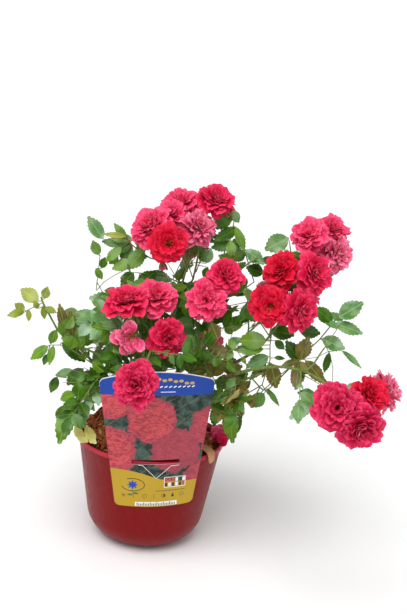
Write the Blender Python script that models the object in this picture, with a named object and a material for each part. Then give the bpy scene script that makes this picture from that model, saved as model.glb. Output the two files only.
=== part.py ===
"""Potted double-flowered rose bush.

A tapering container with a bark-topped substrate, a hooked plant label, a knobbly crown and one
cane for every mass of foliage. A cane ends where it enters its own mass: a stem that carries side
twigs, pinnate leaves and double blooms, all fused. Metres, +Z up, the origin at the middle of the
container's flat underside, and the label at the front, towards -Y.
"""

from math import cos, pi, radians, sin, sqrt, tan
from random import Random

import bmesh
import bpy
from mathutils import Matrix, Vector
from mathutils.bvhtree import BVHTree

# ---------------------------------------------------------------- driving dimensions
CLEARANCE = 0.0003  # gap kept between neighbouring solids

RIM_RADIUS = 0.100
POT_HEIGHT = 0.143
WALL_FOOT_RADIUS = 0.0745  # the straight wall, carried down to the underside
WALL_TAPER = radians(9.5)
WALL = 0.0022
LIP_HEIGHT = 0.0065
LIP_ROUND = 0.0012
HEEL_RADIUS = 0.042  # the bowl-like round between wall and underside
HEEL_STEPS = 4
DRAIN_HOLES = 6
DRAIN_RADIUS = 0.0050
POT_SIDES = 32

FILL_BELOW_RIM = 0.011  # substrate level at the wall
MOUND = 0.016  # how far the bark heaps up towards the crown
CROWN_SEAT_RADIUS = 0.030  # level patch of the mound that the crown stands on
SUBSTRATE_SIDES = POT_SIDES // 2

LABEL_THICKNESS = 0.0006
LABEL_BOTTOM_WIDTH = 0.103
LABEL_TOP_WIDTH = 0.143
LABEL_LOW = -0.0695  # its lower edge, from the slot's upper edge
LABEL_HIGH = 0.106  # its top corners, from the slot's upper edge
LABEL_CREST = 0.012  # the arch above the corners
LABEL_CORNER = 0.006
LABEL_TURN = radians(3.5)  # it hangs slightly askew
LABEL_ROUND = radians(4.9)  # it hangs this far round the rim, right of the front
LABEL_BEND_LOW = 0.118  # radius of its bend at the lower edge
LABEL_BEND_HIGH = 0.330  # and at the top, where it flattens out
SLOT_LEVEL = 0.1468  # height of the slot's upper edge
SLOT_HALF = 0.0305
SLOT_HEIGHT = 0.0062
TONGUE_END = 0.1345  # the hook reaches down inside the wall to this height

CROWN_HEIGHT = 0.031
CROWN_SIDES = 10
STUB_REACH = 0.029  # from the crown's middle to each stub's end
CANE_BASE_RADIUS = 0.0041
CANE_TIP_RADIUS = 0.0029
STEM_TIP_RADIUS = 0.0019
TWIG_RADIUS = 0.0018
TWIG_TIP_RADIUS = 0.0015
CANE_SIDES = 5
CANE_STEPS = 4
STEM_SIDES = 3
TWIG_SIDES = 3

LEAF_TURN = radians(144.0)  # leaves stand at two fifths of a turn
LEAF_RISE = radians(50.0)  # between a leaf's rachis and its twig
STEM_LEAF_STEP = 0.036
TWIG_LEAF_STEP = 0.030
OWN_SPACE_SLACK = 0.010  # how far a leaf may lean past the midline to a neighbour
BLOOM_SEGMENTS = 9

SUBSTRATE_TOP = POT_HEIGHT - FILL_BELOW_RIM
CROWN_FOOT = SUBSTRATE_TOP + MOUND + CLEARANCE
CROWN_MIDDLE = Vector((0.0, 0.0, CROWN_FOOT + 0.014))
CROWN_HEART = Vector((0.03, 0.02, 0.24))  # leaves face away from this point
BACK_LINE = 0.06  # leaves nearer than this lean to the front, the others to the back


# ---------------------------------------------------------------- the plant's design
def aimed(azimuth, elevation):
    """Unit vector: azimuth in degrees from +X towards +Y, elevation in degrees above level."""
    a, e = radians(azimuth), radians(elevation)
    return Vector((cos(a) * cos(e), sin(a) * cos(e), sin(e)))


def bezier(a, b, c, d, t):
    s = 1.0 - t
    return a * s**3 + b * (3 * s * s * t) + c * (3 * s * t * t) + d * t**3


def sweep(start, start_way, end, end_way, steps, grip=0.36):
    """Points of a smooth curve that leaves along start_way and arrives along end_way."""
    pull = (end - start).length * grip
    a, b = start + start_way * pull, end - end_way * pull
    return [bezier(start, a, b, end, i / steps) for i in range(steps + 1)]


class Bloom:
    """One double bloom: its middle, the way it faces, and its diameter."""

    def __init__(self, x, y, z, azimuth, elevation, diameter=0.049):
        self.middle = Vector((x, y, z))
        self.facing = aimed(azimuth, elevation)
        self.diameter = diameter


class Shoot:
    """A cane from the crown, and the mass at its end.

    launch and arrive are the (azimuth, elevation) at which the shoot leaves the crown and ends,
    tip is where its stem ends, and bare is the share of the curve that is cane. Each spray is
    the middle of the leaf that ends a side twig, and that leaf's length where it differs.
    """

    def __init__(self, name, launch, tip, arrive, bare, leaf, seed, sprays, blooms=()):
        self.name = name
        self.bare = bare
        self.leaf = leaf
        self.seed = seed
        self.sprays = [(Vector(s[:3]), s[3] if len(s) > 3 else leaf) for s in sprays]
        self.blooms = [Bloom(*b) for b in blooms]
        way, end_way, self.tip = aimed(*launch), aimed(*arrive), Vector(tip)
        self.launch = way
        self.foot = CROWN_MIDDLE + way * (STUB_REACH + CLEARANCE)
        pull = (self.tip - self.foot).length
        self.bow = (self.foot + way * pull * 0.38, self.tip - end_way * pull * 0.34)

    def at(self, t):
        """Point of the shoot's curve, t from 0 at the crown to 1 at the tip."""
        return bezier(self.foot, self.bow[0], self.bow[1], self.tip, t)

    def stretch(self, start, end, steps):
        return [self.at(start + (end - start) * i / steps) for i in range(steps + 1)]

    def way(self, t):
        """Unit tangent of the shoot's curve."""
        return (self.at(t + 0.002) - self.at(t - 0.002)).normalized()


SHOOTS = [
    Shoot(
        "top", (60, 82), (0.030, 0.010, 0.378), (50, 72), 0.62, 0.072, 11,
        [(0.042, 0.006, 0.374, 0.049), (0.044, 0.070, 0.396)],
        [
            (0.063, 0.045, 0.463, -50, 45, 0.053),
            (0.015, 0.050, 0.456, 110, 68, 0.049),
            (-0.022, 0.002, 0.426, -150, 35, 0.052),
            (0.003, -0.030, 0.409, -96, 4, 0.052),
            (0.041, 0.015, 0.428, -60, 18, 0.052),
            (0.003, 0.026, 0.441, -110, 42, 0.045),
        ],
    ),
    Shoot(
        "centre", (-45, 64), (0.060, -0.026, 0.322), (-60, 66), 0.58, 0.065, 12,
        [
            (0.114, -0.030, 0.339, 0.055), (0.090, -0.050, 0.315, 0.062),
            (0.033, -0.016, 0.353, 0.055), (0.026, -0.044, 0.322, 0.056),
        ],
        [
            (0.079, -0.040, 0.377, -70, 38, 0.051),
            (0.055, -0.065, 0.348, -95, 12, 0.053),
        ],
    ),
    Shoot(
        "left", (-130, 62), (-0.022, -0.050, 0.290), (-110, 60), 0.55, 0.065, 13,
        [
            (-0.020, 0.000, 0.356, 0.072), (-0.058, -0.060, 0.299, 0.057),
            (-0.047, -0.072, 0.274, 0.057), (-0.086, -0.036, 0.302, 0.060),
        ],
        [
            (-0.044, -0.075, 0.341, -125, 52, 0.052),
            (-0.006, -0.055, 0.345, -75, 55, 0.050),
            (0.011, -0.077, 0.298, -45, 2, 0.048),
            (-0.034, -0.092, 0.300, -140, -12, 0.036),
        ],
    ),
    Shoot(
        "front", (-98, 52), (-0.010, -0.116, 0.286), (-95, -10), 0.70, 0.052, 14,
        [(0.022, -0.124, 0.292, 0.049)],
        [(-0.022, -0.165, 0.263, -100, 18, 0.055)],
    ),
    Shoot(
        "right_high", (-12, 52), (0.152, -0.046, 0.326), (30, 66), 0.60, 0.069, 15,
        [(0.153, -0.080, 0.316, 0.055), (0.184, 0.030, 0.372)],
        [
            (0.182, -0.010, 0.433, -112, 36, 0.054),
            (0.220, 0.020, 0.441, 30, 50, 0.049),
            (0.224, -0.004, 0.412, -35, 12, 0.052),
            (0.147, -0.040, 0.389, -125, 26, 0.049),
            (0.189, -0.045, 0.390, -62, 15, 0.050),
            (0.134, -0.075, 0.349, -100, 10, 0.052),
            (0.173, -0.070, 0.345, -55, 2, 0.052),
        ],
    ),
    Shoot(
        "right_low", (-36, 42), (0.208, -0.162, 0.270), (-50, -30), 0.46, 0.072, 16,
        [
            (0.232, -0.062, 0.328, 0.098), (0.234, -0.090, 0.292, 0.056),
            (0.168, -0.172, 0.264, 0.060), (0.170, -0.096, 0.302, 0.060),
        ],
        [
            (0.202, -0.210, 0.269, -100, 18, 0.055),
            (0.242, -0.190, 0.280, -72, 28, 0.046),
            (0.270, -0.160, 0.275, -20, 22, 0.048),
            (0.230, -0.215, 0.250, -85, -12, 0.051),
        ],
    ),
    Shoot(
        "right_mid", (-22, 20), (0.134, -0.076, 0.262), (-30, 24), 0.50, 0.065, 17,
        [
            (0.172, -0.104, 0.268, 0.062), (0.144, -0.110, 0.268, 0.064),
            (0.116, -0.070, 0.301, 0.062),
        ],
    ),
    Shoot(
        "low_right", (-56, 20), (0.096, -0.092, 0.228), (-40, 10), 0.46, 0.063, 18,
        [
            (0.134, -0.090, 0.236, 0.054), (0.098, -0.106, 0.222, 0.069),
            (0.120, -0.078, 0.250, 0.055),
        ],
    ),
    Shoot(
        "front_right", (-72, 42), (0.058, -0.082, 0.280), (-60, 45), 0.50, 0.063, 19,
        [
            (0.080, -0.096, 0.274, 0.067), (0.054, -0.084, 0.298, 0.062),
            (0.097, -0.084, 0.290, 0.064), (0.033, -0.094, 0.286, 0.055),
        ],
    ),
    Shoot(
        "left_arm", (-172, 40), (-0.132, -0.030, 0.288), (172, 34), 0.42, 0.056, 20,
        [
            (-0.168, -0.030, 0.314, 0.060), (-0.141, -0.037, 0.264, 0.050),
            (-0.116, -0.022, 0.294, 0.064), (-0.109, -0.044, 0.264, 0.055),
        ],
    ),
    Shoot(
        "upper_left", (155, 62), (-0.050, 0.030, 0.368), (160, 62), 0.60, 0.060, 21,
        [
            (-0.084, 0.050, 0.398, 0.076), (-0.090, 0.040, 0.362, 0.056),
            (-0.050, 0.022, 0.388, 0.057), (-0.078, 0.000, 0.328, 0.064),
            (-0.044, 0.082, 0.376),
        ],
    ),
    Shoot(
        "low_left", (-148, 26), (-0.080, -0.052, 0.232), (-150, -10), 0.50, 0.063, 22,
        [
            (-0.108, -0.062, 0.230, 0.069), (-0.100, -0.084, 0.198, 0.068),
            (-0.076, -0.050, 0.246, 0.055),
        ],
    ),
    Shoot(
        "upper_right", (22, 64), (0.104, 0.010, 0.382), (10, 56), 0.60, 0.063, 23,
        [
            (0.118, 0.000, 0.392, 0.062), (0.147, 0.022, 0.413, 0.062),
            (0.104, 0.050, 0.392, 0.062), (0.084, 0.014, 0.412, 0.072),
        ],
    ),
    Shoot(
        "back_left", (128, 38), (-0.050, 0.104, 0.262), (115, 40), 0.50, 0.078, 24,
        [
            (-0.112, 0.086, 0.282), (-0.092, 0.132, 0.240), (-0.030, 0.152, 0.250),
            (-0.112, 0.046, 0.246),
        ],
        [
            (-0.040, 0.142, 0.300, 110, 45),
            (-0.080, 0.128, 0.292, 150, 28, 0.047),
        ],
    ),
    Shoot(
        "back_right", (42, 40), (0.150, 0.078, 0.308), (40, 50), 0.52, 0.078, 25,
        [
            (0.214, 0.058, 0.298), (0.178, 0.134, 0.288), (0.120, 0.066, 0.344),
            (0.190, 0.026, 0.256),
        ],
        [
            (0.182, 0.104, 0.356, 60, 48),
            (0.208, 0.078, 0.338, 10, 26, 0.048),
            (0.156, 0.124, 0.332, 105, 20, 0.047),
        ],
    ),
    Shoot(
        "back", (84, 36), (0.064, 0.128, 0.226), (80, 20), 0.50, 0.078, 26,
        [(0.120, 0.132, 0.218), (0.014, 0.160, 0.208), (0.092, 0.112, 0.270)],
        [(0.074, 0.172, 0.240, 85, 30, 0.049)],
    ),
    Shoot(
        "back_top", (98, 62), (0.022, 0.096, 0.338), (90, 60), 0.58, 0.074, 27,
        [(-0.028, 0.114, 0.344), (0.080, 0.114, 0.344), (0.030, 0.146, 0.314)],
        [(0.026, 0.116, 0.386, 90, 55, 0.048)],
    ),
]


# ---------------------------------------------------------------- materials
def linear(hex_colour):
    """An sRGB hex colour such as '8a1c22' as linear RGBA."""
    parts = [int(hex_colour[i : i + 2], 16) / 255 for i in (0, 2, 4)]
    return [c / 12.92 if c <= 0.04045 else ((c + 0.055) / 1.055) ** 2.4 for c in parts] + [1.0]


def material(name, hex_colour, roughness):
    made = bpy.data.materials.new(name)
    made.use_nodes = True
    made.diffuse_color = linear(hex_colour)
    shader = made.node_tree.nodes["Principled BSDF"]
    shader.inputs["Base Color"].default_value = linear(hex_colour)
    shader.inputs["Roughness"].default_value = roughness
    shader.inputs["Metallic"].default_value = 0.0
    return made


# ---------------------------------------------------------------- mesh helpers
def new_object(name, verts, faces, finish=None):
    mesh = bpy.data.meshes.new(name)
    mesh.from_pydata([tuple(v) for v in verts], [], faces)
    if finish:
        mesh.materials.append(finish)
    made = bpy.data.objects.new(name, mesh)
    bpy.context.scene.collection.objects.link(made)
    return made


def merge(base, pieces, operation, solver="MANIFOLD"):
    """Union or difference of an object with (verts, faces) pieces, applied."""
    group = bpy.data.collections.new("pieces")
    bpy.context.scene.collection.children.link(group)
    for verts, faces in pieces:
        piece = new_object("piece", verts, faces)
        bpy.context.scene.collection.objects.unlink(piece)
        group.objects.link(piece)
    modifier = base.modifiers.new(operation.lower(), "BOOLEAN")
    modifier.operation = operation
    modifier.operand_type = "COLLECTION"
    modifier.collection = group
    modifier.solver = solver
    whole = base.evaluated_get(bpy.context.evaluated_depsgraph_get())
    base.data = bpy.data.meshes.new_from_object(whole)
    base.modifiers.clear()
    for piece in list(group.objects):
        bpy.data.objects.remove(piece, do_unlink=True)
    bpy.data.collections.remove(group)


def keep_largest_body(made):
    """Drop loose scraps: only the connected body with the most faces stays."""
    body = bmesh.new()
    body.from_mesh(made.data)
    left, bodies = set(body.verts), []
    while left:
        seed = left.pop()
        found, edge = {seed}, [seed]
        while edge:
            for link in edge.pop().link_edges:
                for vert in link.verts:
                    if vert in left:
                        left.discard(vert)
                        found.add(vert)
                        edge.append(vert)
        bodies.append(found)
    bodies.sort(key=len, reverse=True)
    for scrap in bodies[1:]:
        bmesh.ops.delete(body, geom=list(scrap), context="VERTS")
    body.to_mesh(made.data)
    body.free()


def soften(made, degrees):
    made.data.shade_smooth()
    made.data.set_sharp_from_angle(angle=radians(degrees))


def lathe(profile, sides):
    """A solid of (radius, height) points turned about Z, with flat end caps."""
    verts, faces = [], []
    for radius, height in profile:
        for k in range(sides):
            angle = 2 * pi * k / sides
            verts.append(Vector((radius * cos(angle), radius * sin(angle), height)))
    for i in range(len(profile) - 1):
        for k in range(sides):
            m = (k + 1) % sides
            faces.append((i * sides + k, i * sides + m, (i + 1) * sides + m, (i + 1) * sides + k))
    faces.append(tuple(reversed(range(sides))))
    faces.append(tuple((len(profile) - 1) * sides + k for k in range(sides)))
    return verts, faces


def tube(points, start_radius, end_radius, sides, first=None, last=None):
    """A tapering tube along a row of points. first and last square its flat ends to a way."""
    verts, faces = [], []
    count = len(points)
    across = None
    for i, point in enumerate(points):
        ahead = (points[min(i + 1, count - 1)] - points[max(i - 1, 0)]).normalized()
        if first and i == 0:
            ahead = first
        if last and i == count - 1:
            ahead = last
        if across is None:
            across = ahead.orthogonal().normalized()
        across = (across - ahead * across.dot(ahead)).normalized()
        over = ahead.cross(across)
        radius = start_radius + (end_radius - start_radius) * i / (count - 1)
        for k in range(sides):
            angle = 2 * pi * k / sides
            verts.append(point + (across * cos(angle) + over * sin(angle)) * radius)
    for i in range(count - 1):
        for k in range(sides):
            m = (k + 1) % sides
            faces.append((i * sides + k, i * sides + m, (i + 1) * sides + m, (i + 1) * sides + k))
    faces.append(tuple(reversed(range(sides))))
    faces.append(tuple((count - 1) * sides + k for k in range(sides)))
    return verts, faces


def frame_of(origin, ahead, normal):
    """Matrix with X ahead and Z as near normal as it can be."""
    x = ahead.normalized()
    y = normal.cross(x).normalized()
    turned = Matrix((x, y, x.cross(y))).transposed().to_4x4()
    turned.translation = origin
    return turned


# ---------------------------------------------------------------- leaf and bloom solids
# shares of a leaf's length, by its number of leaflet pairs
PAIR_SHARES = {2: (0.33, 0.60), 1: (0.46,)}
TERMINAL_SHARE = {2: 0.69, 1: 0.62}
TERMINAL_HALF_WIDTH = {2: 0.145, 1: 0.175}
LEAFLET_SHARE = {2: 0.40, 1: 0.45}
LEAFLET_SPLAY = radians(62.0)
LEAFLET_HALF_WIDTH = 0.38  # as a share of the leaflet's length
RACHIS_HALF = 0.0009
BLADE_HALF = 0.0006


def pinnate_leaf(length, pairs, place, droop, swell=1.0):
    """One closed blade: a petiole, pairs of leaflets and a terminal leaflet.

    Both sheets share the line of edge points, and part at the rachis and in the middle of each
    leaflet. droop is how far the tip hangs, and swell fattens the leaf for a clearance test.
    """
    leaflet = LEAFLET_SHARE[pairs] * length
    half = RACHIS_HALF * swell
    width = LEAFLET_HALF_WIDTH * leaflet * (1.0 + 0.1 * (swell - 1.0))
    along = Vector((cos(LEAFLET_SPLAY), sin(LEAFLET_SPLAY)))
    aside = Vector((-along.y, along.x))
    shares = PAIR_SHARES[pairs]
    edge, middles = [(0.0, half)], []
    for share in shares:
        foot = Vector((share * length, 0.0))
        near = foot + along * leaflet * 0.48 + aside * width
        end = foot + along * leaflet
        far = foot + along * leaflet * 0.54 - aside * width
        edge += [(foot.x - half * 1.5, half), tuple(near), tuple(end), tuple(far)]
        edge.append((foot.x + half * 3.0, half))
        middles.append(tuple(foot + along * leaflet * 0.5))
    terminal = TERMINAL_SHARE[pairs] * length
    edge += [(terminal, half), ((terminal + length) / 2, TERMINAL_HALF_WIDTH[pairs] * length)]
    count = len(edge)
    ridge = [0.0] + [share * length for share in shares] + [terminal]

    def bent(x, y, z):
        fall = droop * (x / length) ** 2 + 0.45 * droop * (y / leaflet) ** 2
        return Vector((x, y, z - fall * length))

    verts = [bent(x, y, 0.0) for x, y in edge] + [bent(x, -y, 0.0) for x, y in edge]
    verts.append(bent(length, 0.0, 0.0))
    tip = len(verts) - 1
    faces, feet = [], []
    for side in (1.0, -1.0):
        start = len(verts)
        feet.append(start)
        lift = side * BLADE_HALF * swell
        verts += [bent(x, 0.0, side * half) for x in ridge]
        verts += [bent(x, y, lift) for x, y in middles]
        verts += [bent(x, -y, lift) for x, y in middles]
        verts.append(bent((terminal + length) / 2, 0.0, lift))
        r = list(range(start, start + pairs + 2))
        last = start + 3 * pairs + 2
        for left in (True, False):
            e = [i if left else count + i for i in range(count)]
            sheet, before = [], e[0]
            for p in range(pairs):
                first = 1 + 5 * p
                middle = r[-1] + 1 + p + (0 if left else pairs)
                sheet += [(before, e[first], r[p]), (e[first], r[p + 1], r[p])]
                ring = [r[p + 1]] + e[first : first + 5]
                for i, vertex in enumerate(ring):
                    sheet.append((vertex, ring[(i + 1) % len(ring)], middle))
                before = e[first + 4]
            sheet += [(before, e[-2], r[-2]), (e[-2], r[-1], r[-2])]
            sheet += [(r[-1], e[-2], last), (e[-2], e[-1], last), (e[-1], tip, last)]
            faces += [f if left != (side > 0) else f[::-1] for f in sheet]
    top, bottom = feet
    faces += [(0, count, top), (0, bottom, count)]
    return [place @ v for v in verts], faces


# (radius, height, ruffle) of a bloom's rings, as shares of its radius.
BLOOM_RINGS = [
    (0.20, -0.46, 0.00),
    (0.88, -0.24, 0.04),
    (1.03, 0.04, 0.06),
    (0.66, 0.38, 0.06),
]
BLOOM_HEART = 0.34


def bloom_solid(bloom, seed):
    """A closed, ruffled solid of stacked whorls, facing along the bloom's axis."""
    rng = Random(seed)
    radius, count = bloom.diameter / 2, BLOOM_SEGMENTS
    place = frame_of(bloom.middle, bloom.facing, Vector((0.2, 0.1, 0.9)))
    verts, faces = [], []
    for reach, height, ruffle in BLOOM_RINGS:
        for k in range(count):
            wave = rng.uniform(-ruffle, ruffle)
            out = reach * (1 + wave) * radius
            up = (height + rng.uniform(-ruffle, ruffle)) * radius
            angle = 2 * pi * k / count
            verts.append(Vector((up, out * cos(angle), out * sin(angle))))
    for i in range(len(BLOOM_RINGS) - 1):
        for k in range(count):
            m = (k + 1) % count
            a, b = i * count, (i + 1) * count
            faces += [(a + k, a + m, b + m), (a + k, b + m, b + k)]
    last = (len(BLOOM_RINGS) - 1) * count
    verts += [Vector((-0.46 * radius, 0, 0)), Vector((BLOOM_HEART * radius, 0, 0))]
    under, heart = len(verts) - 2, len(verts) - 1
    for k in range(count):
        m = (k + 1) % count
        faces += [(m, k, under), (last + k, last + m, heart)]
    return [place @ v for v in verts], faces


# ---------------------------------------------------------------- container, filling, label
def wall_radius(height):
    """Outer radius of the straight part of the container's wall."""
    return WALL_FOOT_RADIUS + height * tan(WALL_TAPER)


def wall_outline(inset, top):
    """(radius, height) points from the flat underside round the heel and up the wall."""
    middle = WALL_FOOT_RADIUS + HEEL_RADIUS * (tan(WALL_TAPER) - 1 / cos(WALL_TAPER))
    points = []
    for i in range(HEEL_STEPS + 1):
        angle = -pi / 2 + (pi / 2 - WALL_TAPER) * i / HEEL_STEPS
        reach = HEEL_RADIUS - inset
        points.append((middle + reach * cos(angle), HEEL_RADIUS + reach * sin(angle)))
    points.append((wall_radius(top) - inset / cos(WALL_TAPER), top))
    return points


def make_pot(finish):
    """Thin wall with a thicker lip, a round heel, a flat underside and holes through the heel."""
    lip = [
        (RIM_RADIUS, POT_HEIGHT - LIP_HEIGHT + LIP_ROUND),
        (RIM_RADIUS, POT_HEIGHT - LIP_ROUND),
        (RIM_RADIUS - LIP_ROUND, POT_HEIGHT),
    ]
    outer = wall_outline(0.0, POT_HEIGHT - LIP_HEIGHT)
    inner = wall_outline(WALL, POT_HEIGHT)
    pot = new_object("pot", *lathe(outer + lip + inner[::-1], POT_SIDES), finish)
    holes = []
    for k in range(DRAIN_HOLES):
        angle = 2 * pi * k / DRAIN_HOLES - pi / 2
        out = Vector((cos(angle), sin(angle), 0.0))
        path = [out * 0.036 + Vector((0, 0, 0.016)), out * 0.062 + Vector((0, 0, -0.004))]
        holes.append(tube(path, DRAIN_RADIUS, DRAIN_RADIUS, 7))
    merge(pot, holes, "DIFFERENCE")
    soften(pot, 32)
    return pot


def make_substrate(finish):
    """The filling follows the inside of the container and mounds up to the crown's seat."""
    side = wall_outline(WALL + CLEARANCE, SUBSTRATE_TOP - 0.004)
    edge = side[-1][0]
    top = [
        (edge - 0.003, SUBSTRATE_TOP),
        (edge * 0.76, SUBSTRATE_TOP + MOUND * 0.34),
        (edge * 0.52, SUBSTRATE_TOP + MOUND * 0.78),
        (CROWN_SEAT_RADIUS, SUBSTRATE_TOP + MOUND),
    ]
    made = new_object("substrate", *lathe(side + top, SUBSTRATE_SIDES), finish)
    soften(made, 40)
    return made


def label_face(height):
    """How far in front of the container's axis the label's middle line stands at a height."""
    low = wall_radius(0.077) + 0.0014
    rim = RIM_RADIUS + LABEL_THICKNESS / 2 + 0.0010
    if height < 0.137:
        return low + (rim - low) * (height - 0.077) / 0.060
    return rim + max(0.0, height - 0.143) * 0.085


def label_point(s, t):
    """The flat card's point (s, t), turned askew and bent round the container."""
    across = s * cos(LABEL_TURN) - t * sin(LABEL_TURN)
    height = SLOT_LEVEL + s * sin(LABEL_TURN) + t * cos(LABEL_TURN)
    share = (t - LABEL_LOW) / (LABEL_HIGH - LABEL_LOW)
    bend = LABEL_BEND_LOW + (LABEL_BEND_HIGH - LABEL_BEND_LOW) * max(0.0, share) ** 1.6
    turn = across / bend
    return Vector((bend * sin(turn), bend * (1 - cos(turn)) - label_face(height), height))


def make_label(finish):
    """A thin card with an arched top, and a tongue folded from its slot back over the rim."""
    rows = [LABEL_LOW, LABEL_LOW + LABEL_CORNER, -0.035, -SLOT_HEIGHT, 0.0, 0.050]
    rows += [LABEL_HIGH - LABEL_CORNER, LABEL_HIGH]
    outer, inner = (0.5, 0.88, 1.0), (-1.0, -0.5, 0.0, 0.5, 1.0)
    columns = [(-1, u) for u in outer[::-1]] + [(0, v) for v in inner] + [(1, u) for u in outer]
    points, grid = [], {}
    for j, t in enumerate(rows):
        share = (t - LABEL_LOW) / (LABEL_HIGH - LABEL_LOW)
        half = (LABEL_BOTTOM_WIDTH + (LABEL_TOP_WIDTH - LABEL_BOTTOM_WIDTH) * share) / 2
        for i, (side, u) in enumerate(columns):
            s = SLOT_HALF * u if side == 0 else side * (SLOT_HALF + (half - SLOT_HALF) * u)
            level = t
            if j == len(rows) - 1:
                level += LABEL_CREST * (1 - (s / half) ** 2) - LABEL_CORNER * 0.8 * (abs(u) == 1 and side != 0)
            elif j == len(rows) - 2:
                level += LABEL_CREST * 0.5 * (1 - (s / half) ** 2)
            elif j == 0 and side != 0:
                level += LABEL_CORNER * (0.7 if u == 1.0 else 0.08 if u > 0.6 else 0.0)
            grid[i, j] = len(points)
            points.append(label_point(s, level))
    faces = []
    slot_row, slot_first, slot_last = 3, 3, 7
    for j in range(len(rows) - 1):
        for i in range(len(columns) - 1):
            if j == slot_row and slot_first <= i < slot_last:
                continue
            faces.append((grid[i, j], grid[i + 1, j], grid[i + 1, j + 1], grid[i, j + 1]))
    inside = wall_radius(TONGUE_END) - WALL / cos(WALL_TAPER) - LABEL_THICKNESS / 2 - 0.0008
    edge = [grid[i, slot_row + 1] for i in range(slot_first, slot_last + 1)]
    for step in (1, 2, 3):
        row = []
        for first in [grid[i, slot_row + 1] for i in range(slot_first, slot_last + 1)]:
            root = points[first]
            narrow = 1.0 - 0.07 * (step - 1)
            x = root.x * narrow
            y = -sqrt(inside**2 - x * x) + 0.0009 * (step - 1)
            z = root.z if step == 1 else root.z - 0.003 if step == 2 else TONGUE_END
            row.append(len(points))
            points.append(Vector((x, y, z)))
        for k in range(len(row) - 1):
            faces.append((edge[k + 1], edge[k], row[k], row[k + 1]))
        edge = row
    swing = Matrix.Rotation(LABEL_ROUND, 3, "Z")
    label = new_object("label", [swing @ p for p in points], faces, finish)
    sheet = label.modifiers.new("thickness", "SOLIDIFY")
    sheet.thickness = LABEL_THICKNESS
    sheet.offset = 0.0
    sheet.use_even_offset = True
    soften(label, 30)
    return label


def make_crown(finish):
    """The flared base cut flat at soil level, with a stub for every cane."""
    profile = [(0.0260, 0.0), (0.0250, 0.0025), (0.0195, 0.0075), (0.0170, 0.0140)]
    profile += [(0.0165, 0.0210), (0.0130, 0.0270), (0.0060, CROWN_HEIGHT)]
    crown = new_object(
        "crown", *lathe([(r, CROWN_FOOT + z) for r, z in profile], CROWN_SIDES), finish
    )
    stubs = []
    for shoot in SHOOTS:
        path = [CROWN_MIDDLE + shoot.launch * reach for reach in (0.006, STUB_REACH)]
        stubs.append(tube(path, CANE_BASE_RADIUS * 1.2, CANE_BASE_RADIUS, CANE_SIDES))
    merge(crown, stubs, "UNION")
    soften(crown, 40)
    return crown


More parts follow.
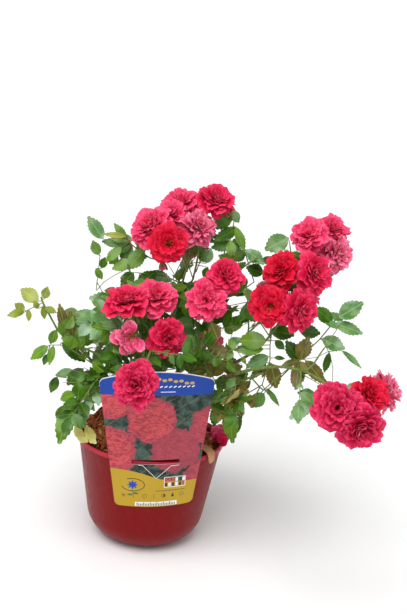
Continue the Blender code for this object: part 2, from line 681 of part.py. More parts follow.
# ---------------------------------------------------------------- masses
class Mass:
    """One shoot's foliage: stem, twigs and blooms first, then the leaves that find room."""

    def __init__(self, shoot):
        self.shoot = shoot
        self.rng = Random(shoot.seed)
        start = shoot.bare
        gap = (CLEARANCE + 0.0001) / (shoot.at(start + 0.01) - shoot.at(start)).length * 0.01
        self.stem = shoot.stretch(start + gap, 1.0, 3)
        way = shoot.way(start)
        self.pieces = [tube(self.stem, CANE_TIP_RADIUS, STEM_TIP_RADIUS, STEM_SIDES, way)]
        self.slots = self.leaf_slots(0, self.stem, STEM_LEAF_STEP, 0.30, 1.0)
        self.bones = list(self.stem)
        self.bloom_pieces = []
        for spray, length in shoot.sprays:
            self.add_spray(spray, length)
        for number, bloom in enumerate(shoot.blooms):
            self.add_bloom(bloom, number)
        self.leaves = []

    def branch_point(self, target, least):
        """The last point of the stem that is at least so far from target, and its way."""
        shares = [i / 24 for i in range(1, 24)]
        reach = {share: (self.on_stem(share) - target).length for share in shares}
        far = [share for share in shares if reach[share] >= least]
        share = min(far, key=reach.get) if far else max(shares, key=reach.get)
        way = (self.on_stem(share + 0.03) - self.on_stem(share)).normalized()
        return self.on_stem(share), way

    def on_stem(self, share):
        return self.shoot.at(self.shoot.bare + (1 - self.shoot.bare) * min(1.0, share))

    def add_spray(self, spray, length):
        start, way = self.branch_point(spray, length * 0.85)
        reach = spray - start
        aim = reach.normalized()
        end = spray - aim * min(0.5 * length, reach.length * 0.75)
        points = sweep(start, (way * 0.5 + aim).normalized(), end, aim, 2)
        self.pieces.append(tube(points, TWIG_RADIUS, TWIG_TIP_RADIUS, TWIG_SIDES))
        self.bones += points
        owner = len(self.pieces) - 1
        tail = (points[-1] - points[-2]).normalized()
        self.slots.append((owner, points[-1] - tail * 0.0015, tail, None, length))
        self.slots += self.leaf_slots(owner, points, TWIG_LEAF_STEP, 0.50, 0.92)

    def add_bloom(self, bloom, number):
        radius = bloom.diameter / 2
        start, way = self.branch_point(bloom.middle, bloom.diameter)
        end = bloom.middle - bloom.facing * radius * 0.30
        out = (way + (end - start).normalized()).normalized()
        points = sweep(start, out, end, bloom.facing, 2, 0.33)
        self.pieces.append(tube(points, TWIG_RADIUS, TWIG_TIP_RADIUS, TWIG_SIDES))
        self.bones += points + [bloom.middle]
        self.bloom_pieces.append(bloom_solid(bloom, self.shoot.seed * 10 + number))

    def leaf_slots(self, owner, points, step, first, size):
        """(twig, point, way, azimuth, length) for the leaves along a twig, by phyllotaxis."""
        found, turn = [], self.rng.uniform(0, 2 * pi)
        total = sum((b - a).length for a, b in zip(points, points[1:]))
        at, travelled = total * first if total > step else total, 0.0
        for a, b in zip(points, points[1:]):
            span = (b - a).length
            while at <= travelled + span and at < total * 0.92:
                way = (b - a).normalized()
                point = a + way * (at - travelled)
                length = self.shoot.leaf * size * self.rng.uniform(0.82, 1.06)
                found.append((owner, point, way, turn, length))
                turn += LEAF_TURN
                at += step * self.rng.uniform(0.85, 1.15)
            travelled += span
        return found

    def leaf_at(self, slot, attempt):
        """A leaf for a slot, tried round its twig until it finds room."""
        _, point, way, turn, length = slot
        outward = (point - CROWN_HEART).normalized()
        if turn is None:
            ahead = (way + outward * 0.25 * attempt).normalized()
        else:
            side = way.orthogonal().normalized()
            side = Matrix.Rotation(turn + attempt * 1.1, 3, way) @ side
            ahead = way * cos(LEAF_RISE) + side * sin(LEAF_RISE)
            ahead = (ahead + outward * 0.35).normalized()
        level = Vector((outward.x, outward.y, 0.0)).normalized()
        ruffle = Vector([self.rng.uniform(-0.35, 0.35) for _ in range(3)])
        nearer = Vector((0, -1 if point.y < BACK_LINE else 1, 0))
        normal = Vector((0, 0, 0.6)) + level * 0.35 + nearer * 0.65 + ruffle
        normal = normal - ahead * normal.dot(ahead)
        if normal.length < 0.2:
            normal = Vector((0, 0, 1)) - ahead * ahead.z
        return frame_of(point, ahead, normal.normalized()), length * (1.0 - 0.13 * attempt)


def tree_of(piece, reach=0.0):
    verts, faces = piece
    return BVHTree.FromPolygons(verts, faces, epsilon=reach)


def nearest(point, bones):
    return min((point - bone).length for bone in bones)


def grow_leaves(masses, fixed):
    """Give every mass its leaves, one slot at a time, wherever nothing else stands."""
    taken = {m: [tree_of(p) for p in m.pieces + m.bloom_pieces] for m in masses}
    for mass in masses:
        others = [tree for m, trees in taken.items() if m is not mass for tree in trees]
        rival_bones = [bone for m in masses if m is not mass for bone in m.bones]
        for slot in mass.slots:
            pairs = 2 if slot[3] is None and mass.shoot.tip.y < BACK_LINE else 1
            own = taken[mass][len(mass.pieces) :]
            for attempt in range(5):
                place, length = mass.leaf_at(slot, attempt)
                middle = place @ Vector((0.55 * length, 0, 0))
                if nearest(middle, mass.bones) > nearest(middle, rival_bones) + OWN_SPACE_SLACK:
                    continue
                shape = (length, pairs, place, 0.14 + 0.04 * attempt)
                trial = tree_of(pinnate_leaf(*shape, 2.2), 0.0004)
                if any(trial.overlap(tree) for tree in fixed + others + own):
                    continue
                mass.leaves.append(pinnate_leaf(*shape))
                taken[mass].append(tree_of(mass.leaves[-1]))
                break


def make_mass(mass, finish):
    made = new_object(f"mass_{mass.shoot.name}", *mass.pieces[0], finish)
    merge(made, mass.pieces[1:] + mass.bloom_pieces + mass.leaves, "UNION")
    keep_largest_body(made)
    return made


def make_cane(shoot, finish):
    points = shoot.stretch(0.0, shoot.bare, CANE_STEPS)
    ways = (shoot.launch, shoot.way(shoot.bare))
    shape = tube(points, CANE_BASE_RADIUS, CANE_TIP_RADIUS, CANE_SIDES, *ways)
    made = new_object(f"cane_{shoot.name}", *shape, finish)
    soften(made, 70)
    return made


def shape_of(made):
    """(verts, faces) of an object as its modifiers leave it."""
    mesh = made.evaluated_get(bpy.context.evaluated_depsgraph_get()).to_mesh()
    return [v.co.copy() for v in mesh.vertices], [tuple(p.vertices) for p in mesh.polygons]


def main():
    for old in list(bpy.data.objects):
        bpy.data.objects.remove(old, do_unlink=True)
    pot = make_pot(material("red plastic", "87242b", 0.45))
    substrate = make_substrate(material("shredded bark", "7a4427", 0.95))
    label = make_label(material("printed card", "2d50a5", 0.35))
    crown = make_crown(material("old rose wood", "6e5a3c", 0.85))
    canes = []
    for shoot in SHOOTS:
        canes.append(make_cane(shoot, material(f"green cane {shoot.name}", "5f6e30", 0.55)))
    masses = [Mass(shoot) for shoot in SHOOTS]
    bpy.context.view_layer.update()
    fixed = [tree_of(shape_of(made)) for made in [pot, substrate, label, crown] + canes]
    grow_leaves(masses, fixed)
    for mass in masses:
        tint = "c02848" if mass.shoot.blooms else "3f6b2c"
        make_mass(mass, material(f"foliage {mass.shoot.name}", tint, 0.5))


main()
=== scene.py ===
"""Potted double-flowered rose bush: the finish of every surface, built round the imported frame.

The canes, twigs, leaves and blooms grow by the same rule and seeds as the solids they replace,
carried on to serrated leaflets, single petals, prickles and shredded bark. Metres, +Z up, the
origin at the middle of the container's flat underside, the label at the front, towards -Y.
"""

from functools import partial
from math import cos, pi, radians, sin, sqrt, tan, tanh
from random import Random

import bpy
import numpy as np
from mathutils import Matrix, Vector
from mathutils.bvhtree import BVHTree

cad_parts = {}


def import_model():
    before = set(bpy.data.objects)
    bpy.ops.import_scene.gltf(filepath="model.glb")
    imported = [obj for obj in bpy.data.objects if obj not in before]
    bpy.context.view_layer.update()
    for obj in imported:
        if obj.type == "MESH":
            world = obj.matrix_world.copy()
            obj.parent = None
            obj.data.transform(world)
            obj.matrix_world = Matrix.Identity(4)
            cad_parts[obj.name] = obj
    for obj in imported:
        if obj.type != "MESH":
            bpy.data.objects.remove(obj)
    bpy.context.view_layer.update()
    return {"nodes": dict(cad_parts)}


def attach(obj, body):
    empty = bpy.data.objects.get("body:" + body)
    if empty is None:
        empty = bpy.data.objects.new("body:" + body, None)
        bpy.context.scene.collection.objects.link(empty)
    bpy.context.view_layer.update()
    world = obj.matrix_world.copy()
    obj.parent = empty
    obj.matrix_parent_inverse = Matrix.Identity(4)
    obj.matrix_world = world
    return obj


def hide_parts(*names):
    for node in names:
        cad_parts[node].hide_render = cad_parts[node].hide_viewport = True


# ---------------------------------------------------------------- driving dimensions
CLEARANCE = 0.0003

RIM_RADIUS = 0.100
POT_HEIGHT = 0.143
WALL_FOOT_RADIUS = 0.0745
WALL_TAPER = radians(9.5)
WALL = 0.0022
LIP_HEIGHT = 0.0065
LIP_ROUND = 0.0012
HEEL_RADIUS = 0.042
DRAIN_HOLES = 6
DRAIN_RADIUS = 0.0050
DRAIN_PATH = ((0.036, 0.016), (0.062, -0.004))
POT_SIDES = 128

SUBSTRATE_TOP = POT_HEIGHT - 0.011
MOUND = 0.016
# distances from the axis and the mound's share of its height there
MOUND_FALL = ([0.03, 0.05, 0.072, 0.092], [1.0, 0.80, 0.42, 0.12])
HEAP_HEIGHT, HEAP_X, HEAP_Y, HEAP_SPREAD = 0.031, -0.057, 0.004, 0.0011
BED_RINGS = [0.985, 0.94, 0.89, 0.84, 0.79, 0.74, 0.68, 0.62, 0.56, 0.5, 0.43, 0.36, 0.28, 0.2, 0.1]
BED_SIDES, BED_LUMPS = 72, 0.0015
PATCH_RINGS = [0.012, 0.024, 0.036, 0.048, 0.058, 0.067, 0.075, 0.082]
PATCH_SIDES, PATCH_LIFT = 48, 0.0008
# from one end of a shred to the other: its share of the full width, and its shift to a side
SHRED_OUTLINE = [(0.55, 0.10), (1.0, -0.04), (0.85, 0.06), (0.95, -0.02), (0.35, 0.16)]
# along the fallen strip: distance from the axis, height, half width
CHIP_PATH = [
    (0.078, 0.1500, 0.0064), (0.087, 0.1500, 0.0086), (0.0965, 0.1490, 0.0080),
    (0.1015, 0.1455, 0.0086), (0.1032, 0.1400, 0.0078), (0.1036, 0.1320, 0.0070),
]

LABEL_THICKNESS = 0.0006
LABEL_BOTTOM_WIDTH = 0.103
LABEL_TOP_WIDTH = 0.143
LABEL_LOW = -0.0695
LABEL_HIGH = 0.106
LABEL_CREST = 0.012
LABEL_CORNER = 0.006
LABEL_TURN = radians(3.5)
LABEL_SWING = Matrix.Rotation(radians(4.9), 3, "Z")
LABEL_BEND_LOW = 0.118
LABEL_BEND_HIGH = 0.330
SLOT_LEVEL = 0.1468
SLOT_HALF = 0.0305
SLOT_HEIGHT = 0.0062
TONGUE_END = 0.1345
BAND_LEVEL = 0.0865
EDGE_WHITE = 0.0011
PICTURE_SIZE = 0.11
# the card stands off the wall below the flank's height, and rises from there to the rim
LABEL_FLANK, LABEL_RISE, LABEL_WALL_GAP, LABEL_RIM_GAP = 0.077, 0.060, 0.0014, 0.0010
LABEL_LEAN = 0.085
# the yellow field's upper edge: its middle level, how far it falls, where and how gently
FIELD_LEVEL, FIELD_FALL, FIELD_MIDDLE, FIELD_SLOPE = -0.0238, 0.0100, -0.005, 0.026
FLOWER_AT = (-0.0285, -0.0365)

CROWN_HEIGHT = 0.031
CROWN_PROFILE = [
    (0.0245, -0.004), (0.0255, 0.0), (0.0250, 0.0025), (0.0195, 0.0075),
    (0.0170, 0.0140), (0.0165, 0.0210), (0.0130, 0.0270), (0.0060, CROWN_HEIGHT),
]
# rings of a prickle: height, half length, half width, shift towards its hook
PRICKLE_RINGS = [
    (-0.0002, 0.0019, 0.0009, 0.0), (0.0006, 0.0013, 0.0006, 0.0002),
    (0.0019, 0.0006, 0.0003, 0.0007), (0.0031, 0.0002, 0.0001, 0.0017),
]
PRICKLE_SIDES = 6
STUB_REACH = 0.029
CANE_BASE_RADIUS = 0.0041
CANE_TIP_RADIUS = 0.0029
BARE_CANE_TIP_RADIUS = 0.0023
STEM_TIP_RADIUS = 0.0019
TWIG_RADIUS = 0.0018
TWIG_TIP_RADIUS = 0.0015
LIMB_SIDES = 3
# first and last radius of the round limbs that are seen
STEM_LIMB, SPRAY_LIMB, BLOOM_LIMB = (0.0022, 0.0012), (0.0014, 0.0009), (0.0014, 0.0012)

LEAF_TURN = radians(144.0)
LEAF_RISE = radians(50.0)
STEM_LEAF_STEP = 0.036
TWIG_LEAF_STEP = 0.030
OWN_SPACE_SLACK = 0.010
BLOOM_SIDES = 9
CROWN_FOOT = SUBSTRATE_TOP + MOUND + CLEARANCE
CROWN_MIDDLE = Vector((0.0, 0.0, CROWN_FOOT + 0.014))
CROWN_HEART = Vector((0.03, 0.02, 0.24))
BACK_LINE = 0.06
UPRIGHT = Vector((0.2, 0.1, 0.9))
# how much stouter than itself a leaf is when it is tested for room, and how near others may come
GROW_SWELL, GROW_REACH, FILL_SWELL, LEAF_SPACING = 2.2, 0.0004, 1.6, 0.012
STAMENS = 34
FILAMENT_RADII, ANTHER_HALF, ANTHER_WIDTH = (0.00022, 0.00018), 0.0007, 0.0005


# ---------------------------------------------------------------- the camera's frame
CAMERA_AT = Vector((0.0, -1.05, 0.55))
PITCH, YAW, ROLL = 0.21112, 0.05297, 0.09239
FOCAL_PIXELS, FRAME_WIDTH, FRAME_HEIGHT = 809.97, 407, 614


def camera_axes():
    """The camera's right, up and ahead, as unit vectors."""
    ahead = Vector((sin(YAW) * cos(PITCH), cos(YAW) * cos(PITCH), -sin(PITCH)))
    right = Vector((cos(YAW), -sin(YAW), 0))
    up = right.cross(ahead)
    return right * cos(ROLL) + up * sin(ROLL), up * cos(ROLL) - right * sin(ROLL), ahead


CAMERA_AXES = camera_axes()


def placed(u, v, depth):
    """The point on the plane y = depth that stands at the frame's place (u, v)."""
    right, up, ahead = CAMERA_AXES
    way = ahead * FOCAL_PIXELS + right * (u - FRAME_WIDTH / 2) - up * (v - FRAME_HEIGHT / 2)
    return CAMERA_AT + way * ((depth - CAMERA_AT.y) / way.y)


def frame_step(u, v, depth):
    """How many metres one step of the frame is at the place (u, v) on the plane y = depth."""
    return (placed(u, v, depth) - CAMERA_AT).dot(CAMERA_AXES[2]) / FOCAL_PIXELS


def framed(point):
    """The place (u, v) in the frame where a point stands."""
    right, up, ahead = CAMERA_AXES
    way = point - CAMERA_AT
    step = way.dot(ahead) / FOCAL_PIXELS
    return FRAME_WIDTH / 2 + way.dot(right) / step, FRAME_HEIGHT / 2 - way.dot(up) / step


# ---------------------------------------------------------------- the plant's design
def aimed(azimuth, elevation):
    """Unit vector: azimuth in degrees from +X towards +Y, elevation in degrees above level."""
    a, e = radians(azimuth), radians(elevation)
    return Vector((cos(a) * cos(e), sin(a) * cos(e), sin(e)))


def bezier(a, b, c, d, t):
    s = 1.0 - t
    return a * s**3 + b * (3 * s * s * t) + c * (3 * s * t * t) + d * t**3


def sweep(start, start_way, end, end_way, steps, grip=0.36):
    """Points of a smooth curve that leaves along start_way and arrives along end_way."""
    pull = (end - start).length * grip
    a, b = start + start_way * pull, end - end_way * pull
    return [bezier(start, a, b, end, i / steps) for i in range(steps + 1)]


class Bloom:
    """One double bloom: its middle, the way it faces, and its diameter."""

    def __init__(self, x, y, z, azimuth, elevation, diameter=0.049):
        self.middle = Vector((x, y, z))
        self.facing = aimed(azimuth, elevation)
        self.diameter = diameter


class Shoot:
    """A cane from the crown, and the mass at its end.

    launch and arrive are the (azimuth, elevation) at which the shoot leaves the crown and ends,
    tip is where its stem ends, and bare is the share of the curve that is cane. Each spray is
    the middle of the leaf that ends a side twig, and that leaf's length where it differs.
    """

    def __init__(self, name, launch, tip, arrive, bare, leaf, seed, sprays, blooms=()):
        self.name = name
        self.bare = bare
        self.leaf = leaf
        self.seed = seed
        self.sprays = [(Vector(s[:3]), s[3] if len(s) > 3 else leaf) for s in sprays]
        self.blooms = [Bloom(*b) for b in blooms]
        way, end_way, self.tip = aimed(*launch), aimed(*arrive), Vector(tip)
        self.launch = way
        self.foot = CROWN_MIDDLE + way * (STUB_REACH + CLEARANCE)
        pull = (self.tip - self.foot).length
        self.bow = (self.foot + way * pull * 0.38, self.tip - end_way * pull * 0.34)

    def at(self, t):
        """Point of the shoot's curve, t from 0 at the crown to 1 at the tip."""
        return bezier(self.foot, self.bow[0], self.bow[1], self.tip, t)

    def stretch(self, start, end, steps):
        return [self.at(start + (end - start) * i / steps) for i in range(steps + 1)]

    def way(self, t):
        """Unit tangent of the shoot's curve."""
        return (self.at(t + 0.002) - self.at(t - 0.002)).normalized()


SHOOTS = [
    Shoot(
        "top", (60, 82), (0.030, 0.010, 0.378), (50, 72), 0.62, 0.072, 11,
        [(0.042, 0.006, 0.374, 0.049), (0.044, 0.070, 0.396)],
        [
            (0.063, 0.045, 0.463, -50, 45, 0.053),
            (0.015, 0.050, 0.456, 110, 68, 0.049),
            (-0.022, 0.002, 0.426, -150, 35, 0.052),
            (0.003, -0.030, 0.409, -96, 4, 0.052),
            (0.041, 0.015, 0.428, -60, 18, 0.052),
            (0.003, 0.026, 0.441, -110, 42, 0.045),
        ],
    ),
    Shoot(
        "centre", (-45, 64), (0.060, -0.026, 0.322), (-60, 66), 0.58, 0.065, 12,
        [
            (0.114, -0.030, 0.339, 0.055), (0.090, -0.050, 0.315, 0.062),
            (0.033, -0.016, 0.353, 0.055), (0.026, -0.044, 0.322, 0.056),
        ],
        [
            (0.079, -0.040, 0.377, -70, 38, 0.051),
            (0.055, -0.065, 0.348, -95, 12, 0.053),
        ],
    ),
    Shoot(
        "left", (-130, 62), (-0.022, -0.050, 0.290), (-110, 60), 0.55, 0.065, 13,
        [
            (-0.020, 0.000, 0.356, 0.072), (-0.058, -0.060, 0.299, 0.057),
            (-0.047, -0.072, 0.274, 0.057), (-0.086, -0.036, 0.302, 0.060),
        ],
        [
            (-0.044, -0.075, 0.341, -125, 52, 0.052),
            (-0.006, -0.055, 0.345, -75, 55, 0.050),
            (0.011, -0.077, 0.298, -45, 2, 0.048),
            (-0.034, -0.092, 0.300, -140, -12, 0.036),
        ],
    ),
    Shoot(
        "front", (-98, 52), (-0.010, -0.116, 0.286), (-95, -10), 0.70, 0.052, 14,
        [(0.022, -0.124, 0.292, 0.049)],
        [(-0.022, -0.165, 0.263, -100, 18, 0.055)],
    ),
    Shoot(
        "right_high", (-12, 52), (0.152, -0.046, 0.326), (30, 66), 0.60, 0.069, 15,
        [(0.153, -0.080, 0.316, 0.055), (0.184, 0.030, 0.372)],
        [
            (0.182, -0.010, 0.433, -112, 36, 0.054),
            (0.220, 0.020, 0.441, 30, 50, 0.049),
            (0.224, -0.004, 0.412, -35, 12, 0.052),
            (0.147, -0.040, 0.389, -125, 26, 0.049),
            (0.189, -0.045, 0.390, -62, 15, 0.050),
            (0.134, -0.075, 0.349, -100, 10, 0.052),
            (0.173, -0.070, 0.345, -55, 2, 0.052),
        ],
    ),
    Shoot(
        "right_low", (-36, 42), (0.208, -0.162, 0.270), (-50, -30), 0.46, 0.072, 16,
        [
            (0.232, -0.062, 0.328, 0.098), (0.234, -0.090, 0.292, 0.056),
            (0.168, -0.172, 0.264, 0.060), (0.170, -0.096, 0.302, 0.060),
        ],
        [
            (0.202, -0.210, 0.269, -100, 18, 0.055),
            (0.242, -0.190, 0.280, -72, 28, 0.046),
            (0.270, -0.160, 0.275, -20, 22, 0.048),
            (0.230, -0.215, 0.250, -85, -12, 0.051),
        ],
    ),
    Shoot(
        "right_mid", (-22, 20), (0.134, -0.076, 0.262), (-30, 24), 0.50, 0.065, 17,
        [
            (0.172, -0.104, 0.268, 0.062), (0.144, -0.110, 0.268, 0.064),
            (0.116, -0.070, 0.301, 0.062),
        ],
    ),
    Shoot(
        "low_right", (-56, 20), (0.096, -0.092, 0.228), (-40, 10), 0.46, 0.063, 18,
        [
            (0.134, -0.090, 0.236, 0.054), (0.098, -0.106, 0.222, 0.069),
            (0.120, -0.078, 0.250, 0.055),
        ],
    ),
    Shoot(
        "front_right", (-72, 42), (0.058, -0.082, 0.280), (-60, 45), 0.50, 0.063, 19,
        [
            (0.080, -0.096, 0.274, 0.067), (0.054, -0.084, 0.298, 0.062),
            (0.097, -0.084, 0.290, 0.064), (0.033, -0.094, 0.286, 0.055),
        ],
    ),
    Shoot(
        "left_arm", (-172, 40), (-0.132, -0.030, 0.288), (172, 34), 0.42, 0.056, 20,
        [
            (-0.168, -0.030, 0.314, 0.060), (-0.141, -0.037, 0.264, 0.050),
            (-0.116, -0.022, 0.294, 0.064), (-0.109, -0.044, 0.264, 0.055),
        ],
    ),
    Shoot(
        "upper_left", (155, 62), (-0.050, 0.030, 0.368), (160, 62), 0.60, 0.060, 21,
        [
            (-0.084, 0.050, 0.398, 0.076), (-0.090, 0.040, 0.362, 0.056),
            (-0.050, 0.022, 0.388, 0.057), (-0.078, 0.000, 0.328, 0.064),
            (-0.044, 0.082, 0.376),
        ],
    ),
    Shoot(
        "low_left", (-148, 26), (-0.080, -0.052, 0.232), (-150, -10), 0.50, 0.063, 22,
        [
            (-0.108, -0.062, 0.230, 0.069), (-0.100, -0.084, 0.198, 0.068),
            (-0.076, -0.050, 0.246, 0.055),
        ],
    ),
    Shoot(
        "upper_right", (22, 64), (0.104, 0.010, 0.382), (10, 56), 0.60, 0.063, 23,
        [
            (0.118, 0.000, 0.392, 0.062), (0.147, 0.022, 0.413, 0.062),
            (0.104, 0.050, 0.392, 0.062), (0.084, 0.014, 0.412, 0.072),
        ],
    ),
    Shoot(
        "back_left", (128, 38), (-0.050, 0.104, 0.262), (115, 40), 0.50, 0.078, 24,
        [
            (-0.112, 0.086, 0.282), (-0.092, 0.132, 0.240), (-0.030, 0.152, 0.250),
            (-0.112, 0.046, 0.246),
        ],
        [
            (-0.040, 0.142, 0.300, 110, 45),
            (-0.080, 0.128, 0.292, 150, 28, 0.047),
        ],
    ),
    Shoot(
        "back_right", (42, 40), (0.150, 0.078, 0.308), (40, 50), 0.52, 0.078, 25,
        [
            (0.214, 0.058, 0.298), (0.178, 0.134, 0.288), (0.120, 0.066, 0.344),
            (0.190, 0.026, 0.256),
        ],
        [
            (0.182, 0.104, 0.356, 60, 48),
            (0.208, 0.078, 0.338, 10, 26, 0.048),
            (0.156, 0.124, 0.332, 105, 20, 0.047),
        ],
    ),
    Shoot(
        "back", (84, 36), (0.064, 0.128, 0.226), (80, 20), 0.50, 0.078, 26,
        [(0.120, 0.132, 0.218), (0.014, 0.160, 0.208), (0.092, 0.112, 0.270)],
        [(0.074, 0.172, 0.240, 85, 30, 0.049)],
    ),
    Shoot(
        "back_top", (98, 62), (0.022, 0.096, 0.338), (90, 60), 0.58, 0.074, 27,
        [(-0.028, 0.114, 0.344), (0.080, 0.114, 0.344), (0.030, 0.146, 0.314)],
        [(0.026, 0.116, 0.386, 90, 55, 0.048)],
    ),
]


# ---------------------------------------------------------------- rows of points made solid
def turns(sides):
    """The angles of so many sides round a circle."""
    return [2 * pi * k / sides for k in range(sides)]


def ringed(rows, sides):
    """Quads round closed rows of so many points, and the two flat ends, facing outwards."""
    faces = []
    for a in range(0, (rows - 1) * sides, sides):
        for k in range(sides):
            m = (k + 1) % sides
            faces.append((a + k, a + m, a + sides + m, a + sides + k))
    last = (rows - 1) * sides
    return faces + [tuple(reversed(range(sides))), tuple(range(last, last + sides))]


def turned_over(faces):
    """The same faces seen from their other side, each from the same corner on."""
    return [face[:1] + face[:0:-1] for face in faces]


def pointed(rows, sides):
    """Triangles round closed rows of points, drawn to a point below and to one above."""
    faces, last = [], (rows - 1) * sides
    under, over = last + sides, last + sides + 1
    for k in range(sides):
        m = (k + 1) % sides
        for a in range(0, last, sides):
            b = a + sides
            faces += [(a + k, a + m, b + m), (a + k, b + m, b + k)]
        faces += [(m, k, under), (last + k, last + m, over)]
    return faces


def tube(points, start_radius, end_radius, sides, first=None):
    """A tapering tube along a row of points, its first end squared to a way if one is given."""
    verts, last = [], len(points) - 1
    across = None
    for i, point in enumerate(points):
        ahead = (points[min(i + 1, last)] - points[max(i - 1, 0)]).normalized()
        if first and i == 0:
            ahead = first
        across = across or ahead.orthogonal().normalized()
        across = (across - ahead * across.dot(ahead)).normalized()
        over = ahead.cross(across)
        radius = start_radius + (end_radius - start_radius) * i / last
        verts += [point + (across * cos(a) + over * sin(a)) * radius for a in turns(sides)]
    return verts, ringed(last + 1, sides)


def lathe(profile, sides):
    """A solid of (radius, height) points turned about Z, with flat end caps."""
    verts = [Vector((r * cos(a), r * sin(a), z)) for r, z in profile for a in turns(sides)]
    return verts, ringed(len(profile), sides)


def frame_of(origin, ahead, normal):
    """Matrix with X ahead and Z as near normal as it can be."""
    x = ahead.normalized()
    y = normal.cross(x).normalized()
    turned = Matrix((x, y, x.cross(y))).transposed().to_4x4()
    turned.translation = origin
    return turned


def towards(point, a, b):
    """The nearest place to a point on the straight run from a to b."""
    run = b - a
    return a + run * min(1.0, max(0.0, (point - a).dot(run) / run.length_squared))


# ---------------------------------------------------------------- the growing rule
PAIR_SHARES = {2: (0.33, 0.60), 1: (0.46,)}
TERMINAL_SHARE = {2: 0.69, 1: 0.62}
TERMINAL_HALF_WIDTH = {2: 0.145, 1: 0.175}
LEAFLET_SHARE = {2: 0.40, 1: 0.45}
LEAFLET_SPLAY = radians(62.0)
LEAFLET_HALF_WIDTH = 0.38
RACHIS_HALF = 0.0009
BLADE_HALF = 0.0006


def pinnate_leaf(length, pairs, place, droop, swell=1.0):
    """The plain closed blade that the rule tests for room: leaflets in pairs and a last one."""
    leaflet = LEAFLET_SHARE[pairs] * length
    half = RACHIS_HALF * swell
    width = LEAFLET_HALF_WIDTH * leaflet * (1.0 + 0.1 * (swell - 1.0))
    along = Vector((cos(LEAFLET_SPLAY), sin(LEAFLET_SPLAY)))
    aside = Vector((-along.y, along.x))
    shares = PAIR_SHARES[pairs]
    edge, middles = [(0.0, half)], []
    for share in shares:
        foot = Vector((share * length, 0.0))
        near = foot + along * leaflet * 0.48 + aside * width
        end = foot + along * leaflet
        far = foot + along * leaflet * 0.54 - aside * width
        edge += [(foot.x - half * 1.5, half), tuple(near), tuple(end), tuple(far)]
        edge.append((foot.x + half * 3.0, half))
        middles.append(tuple(foot + along * leaflet * 0.5))
    terminal = TERMINAL_SHARE[pairs] * length
    edge += [(terminal, half), ((terminal + length) / 2, TERMINAL_HALF_WIDTH[pairs] * length)]
    count = len(edge)
    ridge = [0.0] + [share * length for share in shares] + [terminal]

    def bent(x, y, z):
        fall = droop * (x / length) ** 2 + 0.45 * droop * (y / leaflet) ** 2
        return Vector((x, y, z - fall * length))

    verts = [bent(x, y, 0.0) for x, y in edge] + [bent(x, -y, 0.0) for x, y in edge]
    verts.append(bent(length, 0.0, 0.0))
    tip = len(verts) - 1
    faces, feet = [], []
    for side in (1.0, -1.0):
        start = len(verts)
        feet.append(start)
        lift = side * BLADE_HALF * swell
        verts += [bent(x, 0.0, side * half) for x in ridge]
        verts += [bent(x, y, lift) for x, y in middles]
        verts += [bent(x, -y, lift) for x, y in middles]
        verts.append(bent((terminal + length) / 2, 0.0, lift))
        r = list(range(start, start + pairs + 2))
        last = start + 3 * pairs + 2
        for left in (True, False):
            e = [i if left else count + i for i in range(count)]
            sheet, before = [], e[0]
            for p in range(pairs):
                first = 1 + 5 * p
                middle = r[-1] + 1 + p + (0 if left else pairs)
                sheet += [(before, e[first], r[p]), (e[first], r[p + 1], r[p])]
                ring = [r[p + 1]] + e[first : first + 5]
                for i, vertex in enumerate(ring):
                    sheet.append((vertex, ring[(i + 1) % len(ring)], middle))
                before = e[first + 4]
            sheet += [(before, e[-2], r[-2]), (e[-2], r[-1], r[-2])]
            sheet += [(r[-1], e[-2], last), (e[-2], e[-1], last), (e[-1], tip, last)]
            faces += [f if left != (side > 0) else f[::-1] for f in sheet]
    top, bottom = feet
    faces += [(0, count, top), (0, bottom, count)]
    return [place @ v for v in verts], faces


# reach, height and ruffle of a plain bloom's rings, as shares of its radius, and its two points
BLOOM_RINGS = [
    (0.20, -0.46, 0.00),
    (0.88, -0.24, 0.04),
    (1.03, 0.04, 0.06),
    (0.66, 0.38, 0.06),
]
BLOOM_UNDER, BLOOM_HEART = -0.46, 0.34


def bloom_place(bloom):
    return frame_of(bloom.middle, bloom.facing, Vector((0.2, 0.1, 0.9)))


def bloom_solid(bloom, seed):
    """The plain closed bloom that the rule tests for room."""
    rng = Random(seed)
    radius, place = bloom.diameter / 2, bloom_place(bloom)
    verts = []
    for reach, height, ruffle in BLOOM_RINGS:
        for angle in turns(BLOOM_SIDES):
            out = reach * (1 + rng.uniform(-ruffle, ruffle)) * radius
            up = (height + rng.uniform(-ruffle, ruffle)) * radius
            verts.append(Vector((up, out * cos(angle), out * sin(angle))))
    verts += [Vector((BLOOM_UNDER * radius, 0, 0)), Vector((BLOOM_HEART * radius, 0, 0))]
    return [place @ v for v in verts], pointed(len(BLOOM_RINGS), BLOOM_SIDES)


class Leaf:
    """A leaf that found room: its twig's number, its frame, length, droop and foot."""

    def __init__(self, owner, place, length, droop, foot):
        self.owner, self.place, self.length = owner, place, length
        self.droop, self.foot = droop, foot

    def middle(self):
        return self.place @ Vector((0.55 * self.length, 0, 0))


